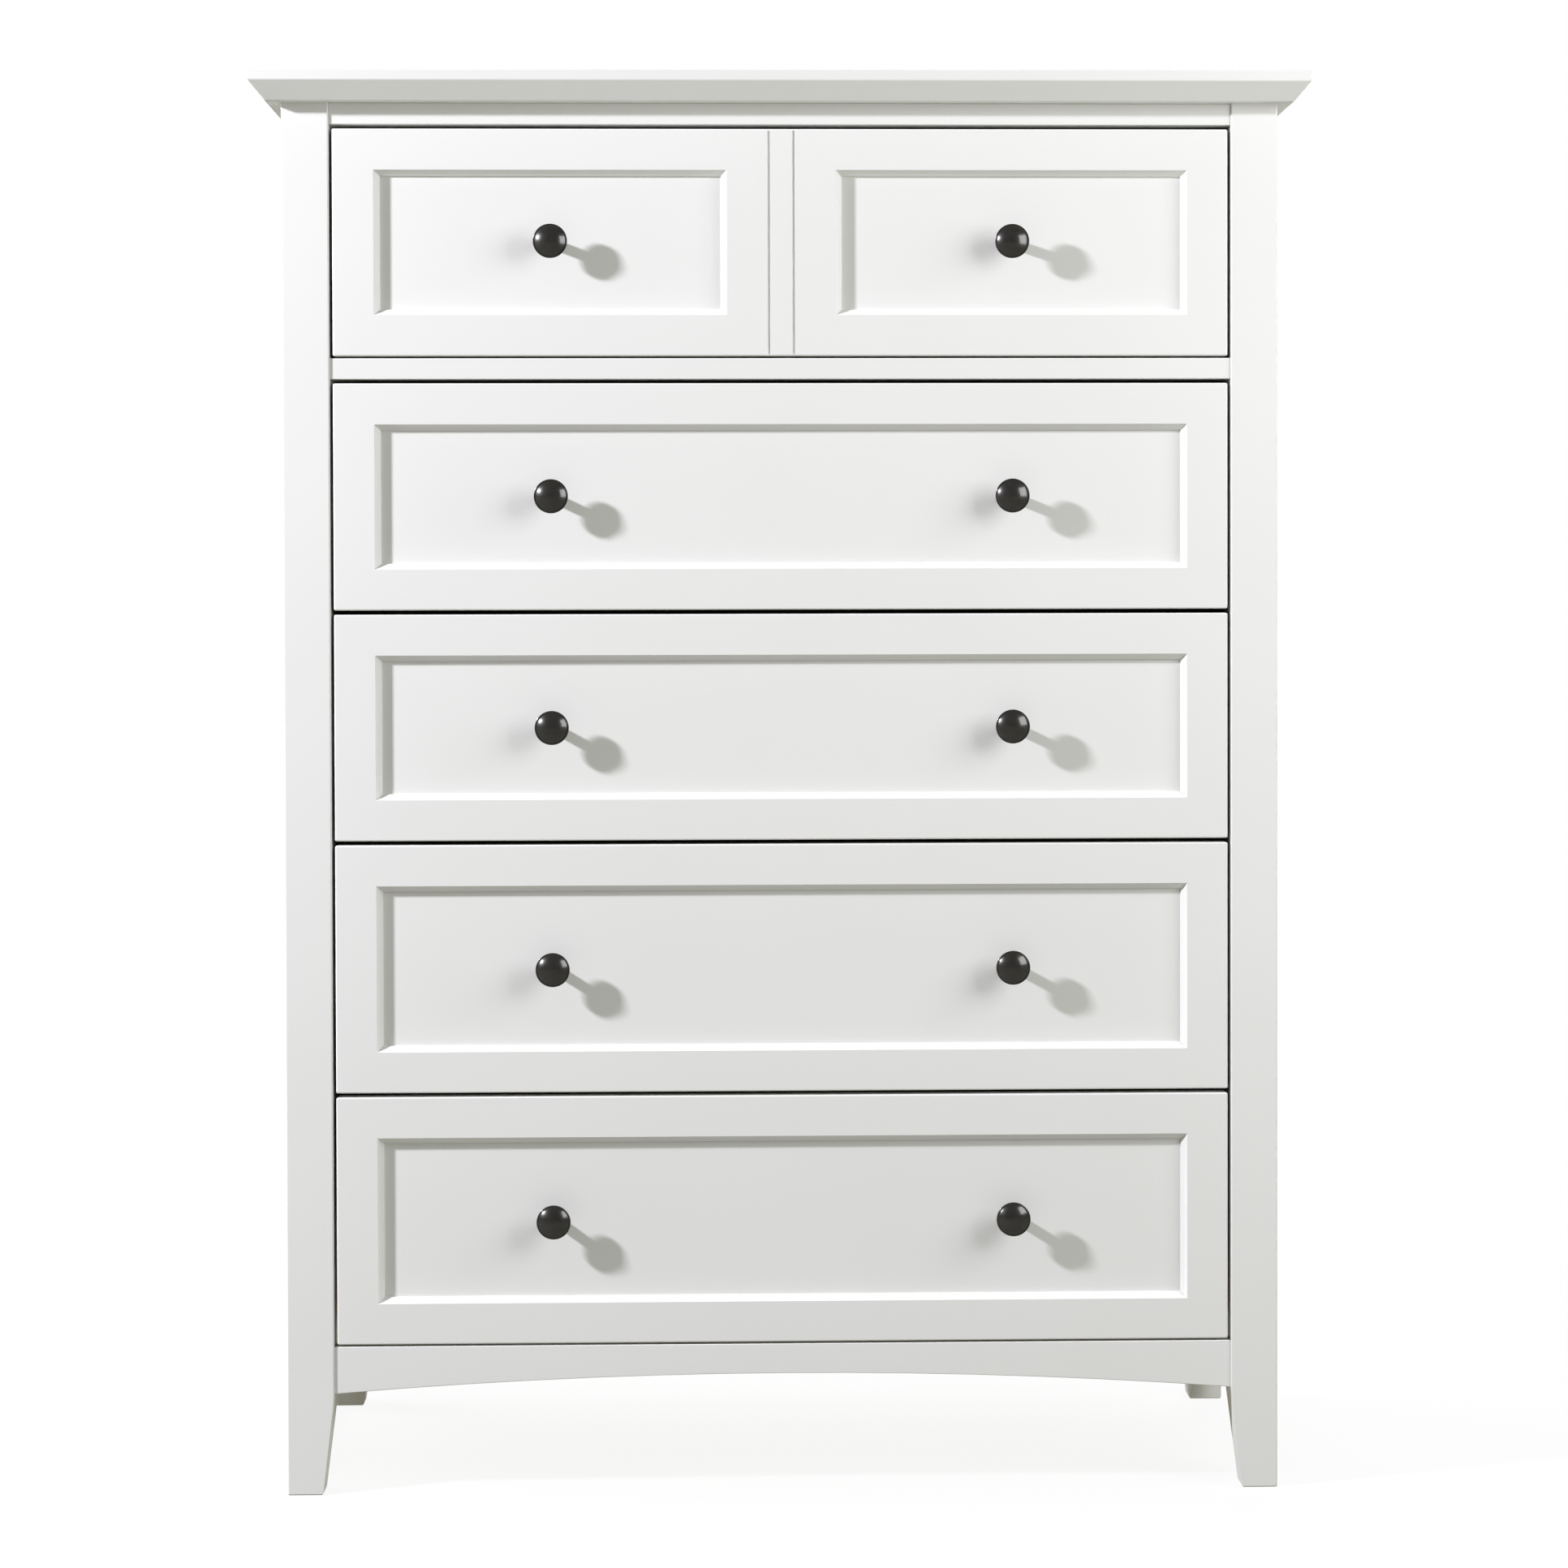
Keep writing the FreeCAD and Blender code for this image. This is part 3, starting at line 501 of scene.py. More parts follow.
def hardwood_finish(settings, name, turn_at):
    """Clear sealed poplar boards: pale, low sheen, soft growth lines and short pores along the
    grain. It runs front to back further than turn_at from the middle, and else left to right."""
    line_width = 13 * MM
    line_length = 420 * MM
    pale_below, dark_above = 0.35, 0.68
    pore_share = 0.35
    pore_width = 0.9 * MM  # real pores are about 0.1 mm wide, too fine to show
    pore_length = 26 * MM
    material, tree, output = new_material(name)
    place = node(tree, "ShaderNodeTexCoord").outputs["Object"]
    axes = node(tree, "ShaderNodeSeparateXYZ", Vector=place)
    off_middle = node(tree, "ShaderNodeMath", {"operation": "ABSOLUTE"}, _0=axes.outputs["X"])
    is_side = node(
        tree,
        "ShaderNodeMath",
        {"operation": "GREATER_THAN"},
        _0=off_middle.outputs["Value"],
        _1=turn_at,
    )
    swapped = node(
        tree,
        "ShaderNodeCombineXYZ",
        X=axes.outputs["Y"],
        Y=axes.outputs["X"],
        Z=axes.outputs["Z"],
    )
    along = node(
        tree,
        "ShaderNodeMix",
        {"data_type": "VECTOR"},
        _0=is_side.outputs["Value"],
        _4=place,
        _5=swapped.outputs["Vector"],
    )
    stretched = node(
        tree,
        "ShaderNodeMapping",
        Vector=along.outputs[1],
        Scale=(1 / line_length, 1 / line_width, 1 / line_width),
    )
    figure = node(
        tree,
        "ShaderNodeTexNoise",
        Vector=stretched.outputs["Vector"],
        Scale=1.0,
        Detail=3.0,
        Distortion=0.5,
    )
    fine = node(
        tree,
        "ShaderNodeMapping",
        Vector=along.outputs[1],
        Scale=(1 / pore_length, 1 / pore_width, 1 / pore_width),
    )
    pores = node(tree, "ShaderNodeTexNoise", Vector=fine.outputs["Vector"], Scale=1.0, Detail=2.0)
    lines = node(
        tree,
        "ShaderNodeMapRange",
        Value=figure.outputs["Fac"],
        From_Min=pale_below,
        From_Max=dark_above,
    )
    tone = node(
        tree,
        "ShaderNodeMix",
        {"data_type": "FLOAT"},
        _0=pore_share,
        _2=lines.outputs["Result"],
        _3=pores.outputs["Fac"],
    )
    colour = node(
        tree,
        "ShaderNodeMix",
        {"data_type": "RGBA"},
        _0=tone.outputs[0],
        _6=rgba(settings.early_colour),
        _7=rgba(settings.late_colour),
    )
    bump = node(
        tree, "ShaderNodeBump", Strength=0.25, Distance=0.15 * MM, Height=pores.outputs["Fac"]
    )
    shader = node(
        tree,
        "ShaderNodeBsdfPrincipled",
        Base_Color=colour.outputs[2],
        Roughness=0.52,
        IOR=1.5,
        Normal=bump.outputs["Normal"],
    )
    tree.links.new(shader.outputs["BSDF"], output.inputs["Surface"])
    return material


def plywood_finish(settings):
    """Sealed birch plywood: rotary-cut veneer, with wide wandering figure and fine flecks."""
    figure_width = 34 * MM
    figure_length = 420 * MM
    fleck_width = 1.2 * MM
    fleck_length = 14 * MM
    material, tree, output = new_material("sealed_birch_plywood")
    place = node(tree, "ShaderNodeTexCoord").outputs["Object"]
    stretched = node(
        tree,
        "ShaderNodeMapping",
        Vector=place,
        Scale=(1 / figure_length, 1 / figure_width, 1 / figure_width),
    )
    figure = node(
        tree,
        "ShaderNodeTexNoise",
        Vector=stretched.outputs["Vector"],
        Scale=1.0,
        Detail=3.0,
        Distortion=1.6,
    )
    fine = node(
        tree,
        "ShaderNodeMapping",
        Vector=place,
        Scale=(1 / fleck_length, 1 / fleck_width, 1 / fleck_width),
    )
    flecks = node(tree, "ShaderNodeTexNoise", Vector=fine.outputs["Vector"], Scale=1.0, Detail=1.0)
    tone = node(
        tree,
        "ShaderNodeMath",
        {"operation": "MULTIPLY", "use_clamp": True},
        _0=figure.outputs["Fac"],
        _1=flecks.outputs["Fac"],
    )
    colour = node(
        tree,
        "ShaderNodeMix",
        {"data_type": "RGBA"},
        _0=tone.outputs["Value"],
        _6=rgba(settings.early_colour),
        _7=rgba(settings.late_colour),
    )
    shader = node(
        tree, "ShaderNodeBsdfPrincipled", Base_Color=colour.outputs[2], Roughness=0.45, IOR=1.5
    )
    tree.links.new(shader.outputs["BSDF"], output.inputs["Surface"])
    return material


def hardboard_finish():
    """White-faced hardboard: a thin flat white over pressed fibre, dull and faintly mottled."""
    fibre_clump = 6 * MM
    cloud = 90 * MM
    material, tree, output = new_material("white_faced_hardboard")
    place = node(tree, "ShaderNodeTexCoord").outputs["Object"]
    fibres = node(tree, "ShaderNodeTexNoise", Vector=place, Scale=1 / fibre_clump, Detail=4.0)
    clouds = node(tree, "ShaderNodeTexNoise", Vector=place, Scale=1 / cloud, Detail=2.0)
    tone = node(
        tree,
        "ShaderNodeMath",
        {"operation": "MULTIPLY", "use_clamp": True},
        _0=fibres.outputs["Fac"],
        _1=clouds.outputs["Fac"],
    )
    colour = node(
        tree,
        "ShaderNodeMix",
        {"data_type": "RGBA"},
        _0=tone.outputs["Value"],
        _6=rgba(linear("ECEBE6")),
        _7=rgba(linear("D8D6CF")),
    )
    bump = node(
        tree, "ShaderNodeBump", Strength=0.15, Distance=0.2 * MM, Height=fibres.outputs["Fac"]
    )
    shader = node(
        tree,
        "ShaderNodeBsdfPrincipled",
        Base_Color=colour.outputs[2],
        Roughness=0.62,
        IOR=1.5,
        Normal=bump.outputs["Normal"],
    )
    tree.links.new(shader.outputs["BSDF"], output.inputs["Surface"])
    return material


def zinc_finish(name, streak_length):
    """Bright zinc plate on rolled or formed steel: grey mirror-like metal, dulled by streaks."""
    streak_width = 1.5 * MM
    material, tree, output = new_material(name)
    place = node(tree, "ShaderNodeTexCoord").outputs["Object"]
    drawn = node(
        tree,
        "ShaderNodeMapping",
        Vector=place,
        Scale=(1 / streak_width, 1 / streak_length, 1 / streak_width),
    )
    streaks = node(
        tree, "ShaderNodeTexNoise", Vector=drawn.outputs["Vector"], Scale=1.0, Detail=3.0
    )
    colour = node(
        tree,
        "ShaderNodeMix",
        {"data_type": "RGBA"},
        _0=streaks.outputs["Fac"],
        _6=rgba(linear("B9BBBF")),
        _7=rgba(linear("D3D4D6")),
    )
    gloss = node(
        tree, "ShaderNodeMapRange", Value=streaks.outputs["Fac"], To_Min=0.24, To_Max=0.42
    )
    shader = node(
        tree,
        "ShaderNodeBsdfPrincipled",
        Base_Color=colour.outputs[2],
        Metallic=1.0,
        Roughness=gloss.outputs["Result"],
    )
    tree.links.new(shader.outputs["BSDF"], output.inputs["Surface"])
    return material


def bronze_finish(settings):
    """Dark patinated bronze under a satin lacquer: near black, with small clear highlights."""
    patina_cell = 5 * MM
    material, tree, output = new_material("dark_lacquered_bronze")
    place = node(tree, "ShaderNodeTexCoord").outputs["Object"]
    patina = node(tree, "ShaderNodeTexNoise", Vector=place, Scale=1 / patina_cell, Detail=3.0)
    colour = node(
        tree,
        "ShaderNodeMix",
        {"data_type": "RGBA"},
        _0=patina.outputs["Fac"],
        _6=rgba(settings.colour),
        _7=rgba(settings.worn_colour),
    )
    gloss = node(tree, "ShaderNodeMapRange", Value=patina.outputs["Fac"], To_Min=0.26, To_Max=0.34)
    shader = node(
        tree,
        "ShaderNodeBsdfPrincipled",
        Base_Color=colour.outputs[2],
        Metallic=0.35,
        Roughness=gloss.outputs["Result"],
        Coat_Weight=0.8,
        Coat_Roughness=0.14,
    )
    tree.links.new(shader.outputs["BSDF"], output.inputs["Surface"])
    return material


def floor_finish(settings):
    """Matt floor paint that runs out into a lit white sweep: pale, even, with a very faint roller
    mottle."""
    mottle = 60 * MM
    sweep_start, sweep_end = 0.6, 2.2  # metres from the middle of the chest
    least_glow = 0.9  # share of the sweep in the floor under the chest
    sweep_light = (0.285, 0.287, 0.235, 1)  # the light that the sweep gives the chest
    material, tree, output = new_material("matt_floor_paint")
    place = node(tree, "ShaderNodeTexCoord").outputs["Object"]
    roller = node(tree, "ShaderNodeTexNoise", Vector=place, Scale=1 / mottle, Detail=2.0)
    gloss = node(tree, "ShaderNodeMapRange", Value=roller.outputs["Fac"], To_Min=0.75, To_Max=0.85)
    shader = node(
        tree,
        "ShaderNodeBsdfPrincipled",
        Base_Color=rgba(settings.floor_colour),
        Roughness=gloss.outputs["Result"],
        IOR=1.4,
    )
    distance = node(tree, "ShaderNodeVectorMath", {"operation": "LENGTH"}, _0=place)
    share = node(
        tree,
        "ShaderNodeMapRange",
        {"interpolation_type": "SMOOTHSTEP"},
        Value=distance.outputs["Value"],
        From_Min=sweep_start,
        From_Max=sweep_end,
        To_Min=least_glow,
    )
    seen = node(tree, "ShaderNodeLightPath").outputs["Is Camera Ray"]
    glow = node(
        tree,
        "ShaderNodeMix",
        {"data_type": "RGBA"},
        _0=seen,
        _6=sweep_light,
        _7=WHITE,
    )
    lit = node(tree, "ShaderNodeEmission", Color=glow.outputs[2], Strength=1.0)
    mixed = node(
        tree,
        "ShaderNodeMixShader",
        Fac=share.outputs["Result"],
        _1=shader.outputs["BSDF"],
        _2=lit.outputs["Emission"],
    )
    tree.links.new(mixed.outputs["Shader"], output.inputs["Surface"])
    return material


# ---------------------------------------------------------------- mesh helpers


def paint(thing, material):
    """Give an object one material in place of what it has."""
    thing.data.materials.clear()
    thing.data.materials.append(material)


def ease_edges(thing, radius):
    """Round a board's arrises a little, keeping its flat faces flat, as sanding and paint do."""
    same_corner, sliver = 0.005 * MM, 0.01 * MM
    weld = thing.modifiers.new("join_corners", "WELD")
    weld.merge_threshold = same_corner
    ease = thing.modifiers.new("eased_edges", "BEVEL")
    ease.width = radius
    ease.segments = 3
    ease.limit_method = "ANGLE"
    ease.angle_limit = EASED_ANGLE
    ease.use_clamp_overlap = True
    clean = thing.modifiers.new("clean_corners", "WELD")
    clean.merge_threshold = sliver
    level = thing.modifiers.new("flat_faces", "WEIGHTED_NORMAL")
    level.keep_sharp = False


def piece_from(bm, name, body, material):
    """Turn a finished bmesh into a named piece that rides on a body."""
    bmesh.ops.recalc_face_normals(bm, faces=bm.faces)
    mesh = bpy.data.meshes.new(name)
    bm.to_mesh(mesh)
    bm.free()
    mesh.shade_smooth()
    mesh.set_sharp_from_angle(angle=SHARP_ANGLE)
    piece = bpy.data.objects.new(name, mesh)
    bpy.context.scene.collection.objects.link(piece)
    paint(piece, material)
    level = piece.modifiers.new("flat_faces", "WEIGHTED_NORMAL")
    level.keep_sharp = True
    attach(piece, body)
    return piece


def loop_edges(bm, loop):
    """The edges round a closed loop of vertices, made where they are missing."""
    edges = []
    for here, there in zip(loop, loop[1:] + loop[:1]):
        edges.append(bm.edges.get((here, there)) or bm.edges.new((here, there)))
    return edges


def skin(bm, loops):
    """Join loops of equal length, one after the other, with quads."""
    for near, far in zip(loops, loops[1:]):
        for i in range(len(near)):
            j = (i + 1) % len(near)
            bm.faces.new((near[i], near[j], far[j], far[i]))


def fill(bm, loops):
    """Fill a flat region: the first loop is its outline and the others are holes in it."""
    edges = [edge for loop in loops for edge in loop_edges(bm, loop)]
    bmesh.ops.triangle_fill(bm, use_beauty=True, edges=edges, normal=(0, -1, 0))


def rectangle_loop(bm, low_x, low_z, high_x, high_z, depth):
    """A sharp-cornered loop facing the front, at Y = depth."""
    corners = ((low_x, low_z), (high_x, low_z), (high_x, high_z), (low_x, high_z))
    return [bm.verts.new((x, depth, z)) for x, z in corners]


def rounded_loop(bm, low_x, low_z, high_x, high_z, depth, radius, steps=4):
    """A loop facing the front with rounded corners, at Y = depth."""
    centres = (
        (high_x - radius, low_z + radius, -90),
        (high_x - radius, high_z - radius, 0),
        (low_x + radius, high_z - radius, 90),
        (low_x + radius, low_z + radius, 180),
    )
    loop = []
    for x, z, start in centres:
        for step in range(steps + 1):
            angle = math.radians(start + 90 * step / steps)
            place = (x + radius * math.cos(angle), depth, z + radius * math.sin(angle))
            loop.append(bm.verts.new(place))
    return loop


def lathe(bm, profile, x, front, z, segments):
    """Turn a profile of (radius, height) pairs, with both ends on the axis, into a closed body.
    The axis runs front to back through x and z, and heights go from Y = front towards -Y."""
    rings = []
    for radius, height in profile:
        if radius == 0:
            rings.append([bm.verts.new((x, front - height, z))])
            continue
        ring = []
        for i in range(segments):
            angle = 2 * math.pi * i / segments
            place = (x + radius * math.cos(angle), front - height, z + radius * math.sin(angle))
            ring.append(bm.verts.new(place))
        rings.append(ring)
    for near, far in zip(rings, rings[1:]):
        for i in range(segments):
            j = (i + 1) % segments
            if len(near) == 1:
                bm.faces.new((near[0], far[j], far[i]))
            elif len(far) == 1:
                bm.faces.new((near[i], near[j], far[0]))
            else:
                bm.faces.new((near[i], near[j], far[j], far[i]))


def arc(centre, radius, start, end, steps):
    """Points on an arc, in degrees, both ends included."""
    points = []
    for step in range(steps + 1):
        angle = math.radians(start + (end - start) * step / steps)
        points.append((centre[0] + radius * math.cos(angle), centre[1] + radius * math.sin(angle)))
    return points


# ---------------------------------------------------------------- operators


class CHEST_OT_studio(bpy.types.Operator):
    """Set up the pale floor, the soft lights and the camera"""

    bl_idname = "chest.studio"
    bl_label = "Set Up Studio"

    def execute(self, context):
        """Make the stage and set the scene's camera and world."""
        settings = context.scene.chest_studio
        self.lay_floor(context, settings)
        self.light_room(context, settings)
        middle = Vector((0, CAD_BOX[0].y, CAD_BOX[1].z / 2))
        lamps = {}
        for name, size, tint in LIGHTS:
            place = getattr(settings, f"{name}_place")
            power = getattr(settings, f"{name}_power")
            lamp_name = f"{name}_light"
            lamps[name] = self.hang_light(context, lamp_name, place, middle, power, size, tint)
        self.raise_flag(context, settings, lamps["left"])
        self.set_camera(context, settings)
        return {"FINISHED"}

    def lay_floor(self, context, settings):
        """A large plain floor under the feet."""
        half = 14.0  # metres
        bm = bmesh.new()
        corners = ((-half, -half), (half, -half), (half, half), (-half, half))
        bm.faces.new([bm.verts.new((x, y, 0)) for x, y in corners])
        mesh = bpy.data.meshes.new("floor")
        bm.to_mesh(mesh)
        bm.free()
        floor = bpy.data.objects.new("floor", mesh)
        context.scene.collection.objects.link(floor)
        paint(floor, floor_finish(settings))

    def light_room(self, context, settings):
        """An even room: white behind the chest, dimmer as a light."""
        room_tint = (1.0, 1.0, 0.9, 1)
        world = bpy.data.worlds.new("studio_room")
        context.scene.world = world
        world.use_nodes = True
        tree = world.node_tree
        tree.nodes.clear()
        seen = node(tree, "ShaderNodeLightPath").outputs["Is Camera Ray"]
        backdrop = node(tree, "ShaderNodeBackground", Color=WHITE, Strength=1.0)
        room = node(tree, "ShaderNodeBackground", Color=room_tint, Strength=settings.room_light)
        mixed = node(
            tree,
            "ShaderNodeMixShader",
            Fac=seen,
            _1=room.outputs["Background"],
            _2=backdrop.outputs["Background"],
        )
        output = node(tree, "ShaderNodeOutputWorld")
        tree.links.new(mixed.outputs["Shader"], output.inputs["Surface"])
        context.scene.view_settings.view_transform = "Standard"

    def hang_light(self, context, name, place, target, power, size, tint):
        """A square soft light turned to the chest."""
        light = bpy.data.lights.new(name, "AREA")
        light.energy = power
        light.size = size
        light.color = tint
        lamp = bpy.data.objects.new(name, light)
        lamp.location = place
        lamp.rotation_euler = (target - Vector(place)).to_track_quat("-Z", "Y").to_euler()
        context.scene.collection.objects.link(lamp)
        return lamp

    def raise_flag(self, context, settings, left_light):
        """A card that shades the chest's left side from the key light.
        Its near, low and high edges lie on the key's rays to that side's edges. The left light
        passes it, and the other lights don't."""
        beside = 105 * MM
        penumbra = 8 * MM
        past_back = 200 * MM
        key = Vector(settings.key_place)
        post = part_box("front_left_post")[0]
        side, top = CAD_BOX[0].x, CAD_BOX[1].z
        x = side - beside
        near = post.y + (x - post.x) * (key.y - post.y) / (key.x - post.x) + penumbra
        far = CAD_BOX[1].y + past_back
        low = key.z * (post.x - x) / (post.x - key.x)
        high = top + (key.z - top) * (side - x) / (side - key.x)
        corners = ((near, low), (far, low), (far, high), (near, high))
        bm = bmesh.new()
        bm.faces.new([bm.verts.new((x, y, z)) for y, z in corners])
        mesh = bpy.data.meshes.new("light_flag")
        bm.to_mesh(mesh)
        bm.free()
        card = bpy.data.objects.new("light_flag", mesh)
        context.scene.collection.objects.link(card)
        card.visible_camera = False
        card.visible_diffuse = False
        card.visible_glossy = False
        passed = bpy.data.collections.new("flag_passed")
        passed.objects.link(card)
        passed.collection_objects[0].light_linking.link_state = "EXCLUDE"
        left_light.light_linking.blocker_collection = passed

    def set_camera(self, context, settings):
        """A long lens a little over half height, with a small shift that frames the chest."""
        camera = bpy.data.cameras.new("camera")
        camera.lens = settings.focal_length
        camera.shift_x, camera.shift_y = settings.lens_shift
        eye = bpy.data.objects.new("camera", camera)
        eye.location = settings.camera_place
        eye.rotation_euler = settings.camera_turn
        context.scene.collection.objects.link(eye)
        context.scene.camera = eye


class CHEST_OT_case(bpy.types.Operator):
    """Lacquer the outside boards white and ease their edges"""

    bl_idname = "chest.case"
    bl_label = "Finish Case"

    def execute(self, context):
        """Finish the boards of the case."""
        settings = context.scene.chest_lacquer
        white = lacquer_finish(settings)
        for name in CASE_BOARDS:
            paint(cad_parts[name], white)
            ease_edges(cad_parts[name], settings.edge_round)
        return {"FINISHED"}


class CHEST_OT_inside(bpy.types.Operator):
    """Finish the framing, the drawer boxes, their bottoms and the back"""

    bl_idname = "chest.inside"
    bl_label = "Finish Inside"

    def execute(self, context):
        """Finish the boards that are not lacquered."""
        settings = context.scene.chest_timber
        side_board = 12.5 * MM  # a drawer box's side, and half a millimetre of margin
        box_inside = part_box("drawer_1_box")[1].x - side_board
        beyond_the_case = 1.0  # metres, so that every board runs left to right
        across = hardwood_finish(settings, "sealed_poplar_framing", beyond_the_case)
        lengthwise = hardwood_finish(settings, "sealed_poplar_cleats", 0.0)
        box_boards = hardwood_finish(settings, "sealed_poplar_drawer_boards", box_inside)
        ply = plywood_finish(settings)
        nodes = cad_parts
        for name in FRAMING:
            paint(nodes[name], across)
        paint(nodes["slide_cleats"], lengthwise)
        paint(nodes["back_panel"], hardboard_finish())
        for drawer in DRAWERS:
            paint(nodes[f"drawer_{drawer}_box"], box_boards)
            paint(nodes[f"drawer_{drawer}_bottom"], ply)
        return {"FINISHED"}


class CHEST_OT_fronts(bpy.types.Operator):
    """Build the framed drawer fronts as one painted surface each"""

    bl_idname = "chest.fronts"
    bl_label = "Build Drawer Fronts"

    def execute(self, context):
        """Build five fronts, and lacquer their panels."""
        settings = context.scene.chest_fronts
        white = bpy.data.materials["sprayed_white_lacquer"]
        for drawer in DRAWERS:
            paint(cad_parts[f"drawer_{drawer}_panel"], white)
            self.build_front(settings, drawer, white)
        return {"FINISHED"}

    def build_front(self, settings, drawer, white):
        """One front: a rounded outer edge, a flat face and a hollow bevel round each panel."""
        node_name = f"drawer_{drawer}_front_frame"
        low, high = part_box(node_name)
        panel_low, panel_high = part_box(f"drawer_{drawer}_panel")
        bm = bmesh.new()
        outer = self.outer_edge(bm, settings, low, high)
        stile_half = settings.stile_width / 2 + settings.quirk_width
        spans = [(low.x, high.x)]
        if drawer == 1:
            spans = [(low.x, -stile_half), (stile_half, high.x)]
        face_loops = [outer[-1]]
        back_loops = [outer[0]]
        for left, right in spans:
            span = (left, right, low.z, high.z)
            depths = (low.y, panel_low.y, panel_high.y, high.y)
            loops = self.opening(bm, settings, span, depths)
            face_loops.append(loops[0])
            back_loops.append(loops[-1])
        if drawer == 1:
            for x in (-stile_half, settings.stile_width / 2):
                face_loops.append(self.quirk(bm, settings, x, low, high))
        fill(bm, face_loops)
        fill(bm, back_loops)
        name, body = f"drawer_{drawer}_painted_front", f"drawer_{drawer}"
        front = piece_from(bm, name, body, white)
        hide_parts(node_name)

    def outer_edge(self, bm, settings, low, high):
        """Loops from the back edge round the outer arris to the face."""
        steps = 5
        least_corner = 0.3 * MM
        radius = settings.edge_round
        loops = [(0.0, high.y)]
        for step in range(steps + 1):
            angle = math.pi / 2 * step / steps
            loops.append((radius * (1 - math.cos(angle)), low.y + radius * (1 - math.sin(angle))))
        made = []
        for inset, depth in loops:
            corner = max(settings.corner_round - inset, least_corner)
            sides = (low.x + inset, low.z + inset, high.x - inset, high.z - inset)
            made.append(rounded_loop(bm, *sides, depth, corner))
        skin(bm, made)
        return made

    def opening(self, bm, settings, span, depths):
        """Loops from the face down the hollow bevel, round the panel's groove and to the back.
        The depths are those of the face, the panel's front and back, and the frame's back."""
        left, right, bottom, top = span
        face, panel_front, panel_back, back = depths
        start = settings.flat_width
        inner = start + settings.bevel_width
        grooved = inner - settings.groove_depth
        soft = 0.5 * MM  # rounding of the bevel's outer arris
        foot = 0.25 * MM  # rounding of its inner one
        lean = 0.7  # the hollow is cut square to a bevel of about 45 degrees
        steps = 8
        section = [(start - soft, 0.0), (start - 0.15 * soft, 0.12 * soft)]
        for step in range(1, steps):
            share = step / steps
            sag = settings.bevel_hollow * 4 * share * (1 - share)
            inset = start + settings.bevel_width * share - sag * lean
            section.append((inset, settings.bevel_depth * share + sag * lean))
        section += [
            (inner - foot, settings.bevel_depth - 0.4 * foot),
            (inner, settings.bevel_depth + foot),
            (inner, panel_front - face),
            (grooved, panel_front - face),
            (grooved, panel_back - face),
            (inner, panel_back - face),
            (inner, back - face),
        ]
        loops = []
        for inset, depth in section:
            sides = (left + inset, bottom + inset, right - inset, top - inset)
            loops.append(rectangle_loop(bm, *sides, face + depth))
        skin(bm, loops)
        return loops

    def quirk(self, bm, settings, x, low, high):
        """One shallow groove beside the false stile; returns its loop on the face."""
        soft = 0.25 * MM
        clear = settings.edge_round + 2 * soft
        section = [(-soft, 0.0), (-0.3 * soft, 0.3 * soft), (0.0, soft)]
        section.append((0.0, settings.quirk_depth))
        bottom, top = low.z + clear, high.z - clear
        loops = []
        for inset, depth in section:
            sides = (x + inset, bottom + inset, x + settings.quirk_width - inset, top - inset)
            loops.append(rectangle_loop(bm, *sides, low.y + depth))
        skin(bm, loops)
        bm.faces.new(loops[-1])
        return loops[0]


class CHEST_OT_knobs(bpy.types.Operator):
    """Turn the ten knobs"""

    bl_idname = "chest.knobs"
    bl_label = "Turn Knobs"

    def execute(self, context):
        """Turn two knobs for each drawer and plate their screws."""
        settings = context.scene.chest_knobs
        bronze = bronze_finish(settings)
        zinc = zinc_finish("zinc_plated_screws", streak_length=1.5 * MM)
        profile = self.profile(settings)
        for drawer in DRAWERS:
            name = f"drawer_{drawer}_knobs"
            low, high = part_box(name)
            bm = bmesh.new()
            for side in (-1, 1):
                x = side * settings.spacing / 2
                lathe(bm, profile, x, high.y, (low.z + high.z) / 2, settings.segments)
            body = f"drawer_{drawer}"
            knobs = piece_from(bm, f"{body}_turned_knobs", body, bronze)
            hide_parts(name)
            paint(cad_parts[f"drawer_{drawer}_screws"], zinc)
        return {"FINISHED"}

    def profile(self, settings):
        """Half the section of a knob: screw hole, seat, neck, head, stepped rim and dome."""
        rim_front = settings.projection - settings.dome_height
        rim_back = rim_front - 3 * MM
        head, dome = settings.head_radius, settings.dome_radius
        hole, hole_depth = 2.05 * MM, 10.05 * MM
        seat_flat, seat_edge, seat_ease = 7.7 * MM, 8 * MM, 0.3 * MM
        bead_centre, bead = (7.4 * MM, 1.4 * MM), 0.6 * MM
        neck, flare = 5 * MM, 2.5 * MM
        neck_foot, neck_start, neck_ease = 3.3 * MM, 3.8 * MM, 0.25 * MM
        soft = 0.7 * MM
        step_out, step_in, step_fall = 0.35 * MM, 0.1 * MM, 0.12 * MM
        points = [(0, hole_depth), (hole, hole_depth), (hole, 0)]
        points += [(seat_flat, 0), (seat_edge, seat_ease)]
        points += arc(bead_centre, bead, 0, 63, 3)
        points += [(neck + neck_ease, neck_foot), (neck, neck_start)]
        points += arc((neck + flare, rim_back - flare), flare, 180, 90, 8)
        points += arc((head - soft, rim_back + soft), soft, -90, 0, 5)
        points += arc((head - soft, rim_front - soft), soft, 0, 80, 5)
        points += [(dome + step_out, rim_front), (dome + step_in, rim_front - step_fall)]
        points.append((dome, rim_front))
        ball = (dome**2 + settings.dome_height**2) / (2 * settings.dome_height)
        start = math.degrees(math.asin(dome / ball))
        steps = 20
        for step in range(1, steps):
            angle = math.radians(start * (1 - step / steps))
            height = settings.projection - ball * (1 - math.cos(angle))
            points.append((ball * math.sin(angle), height))
        points.append((0, settings.projection))
        return points


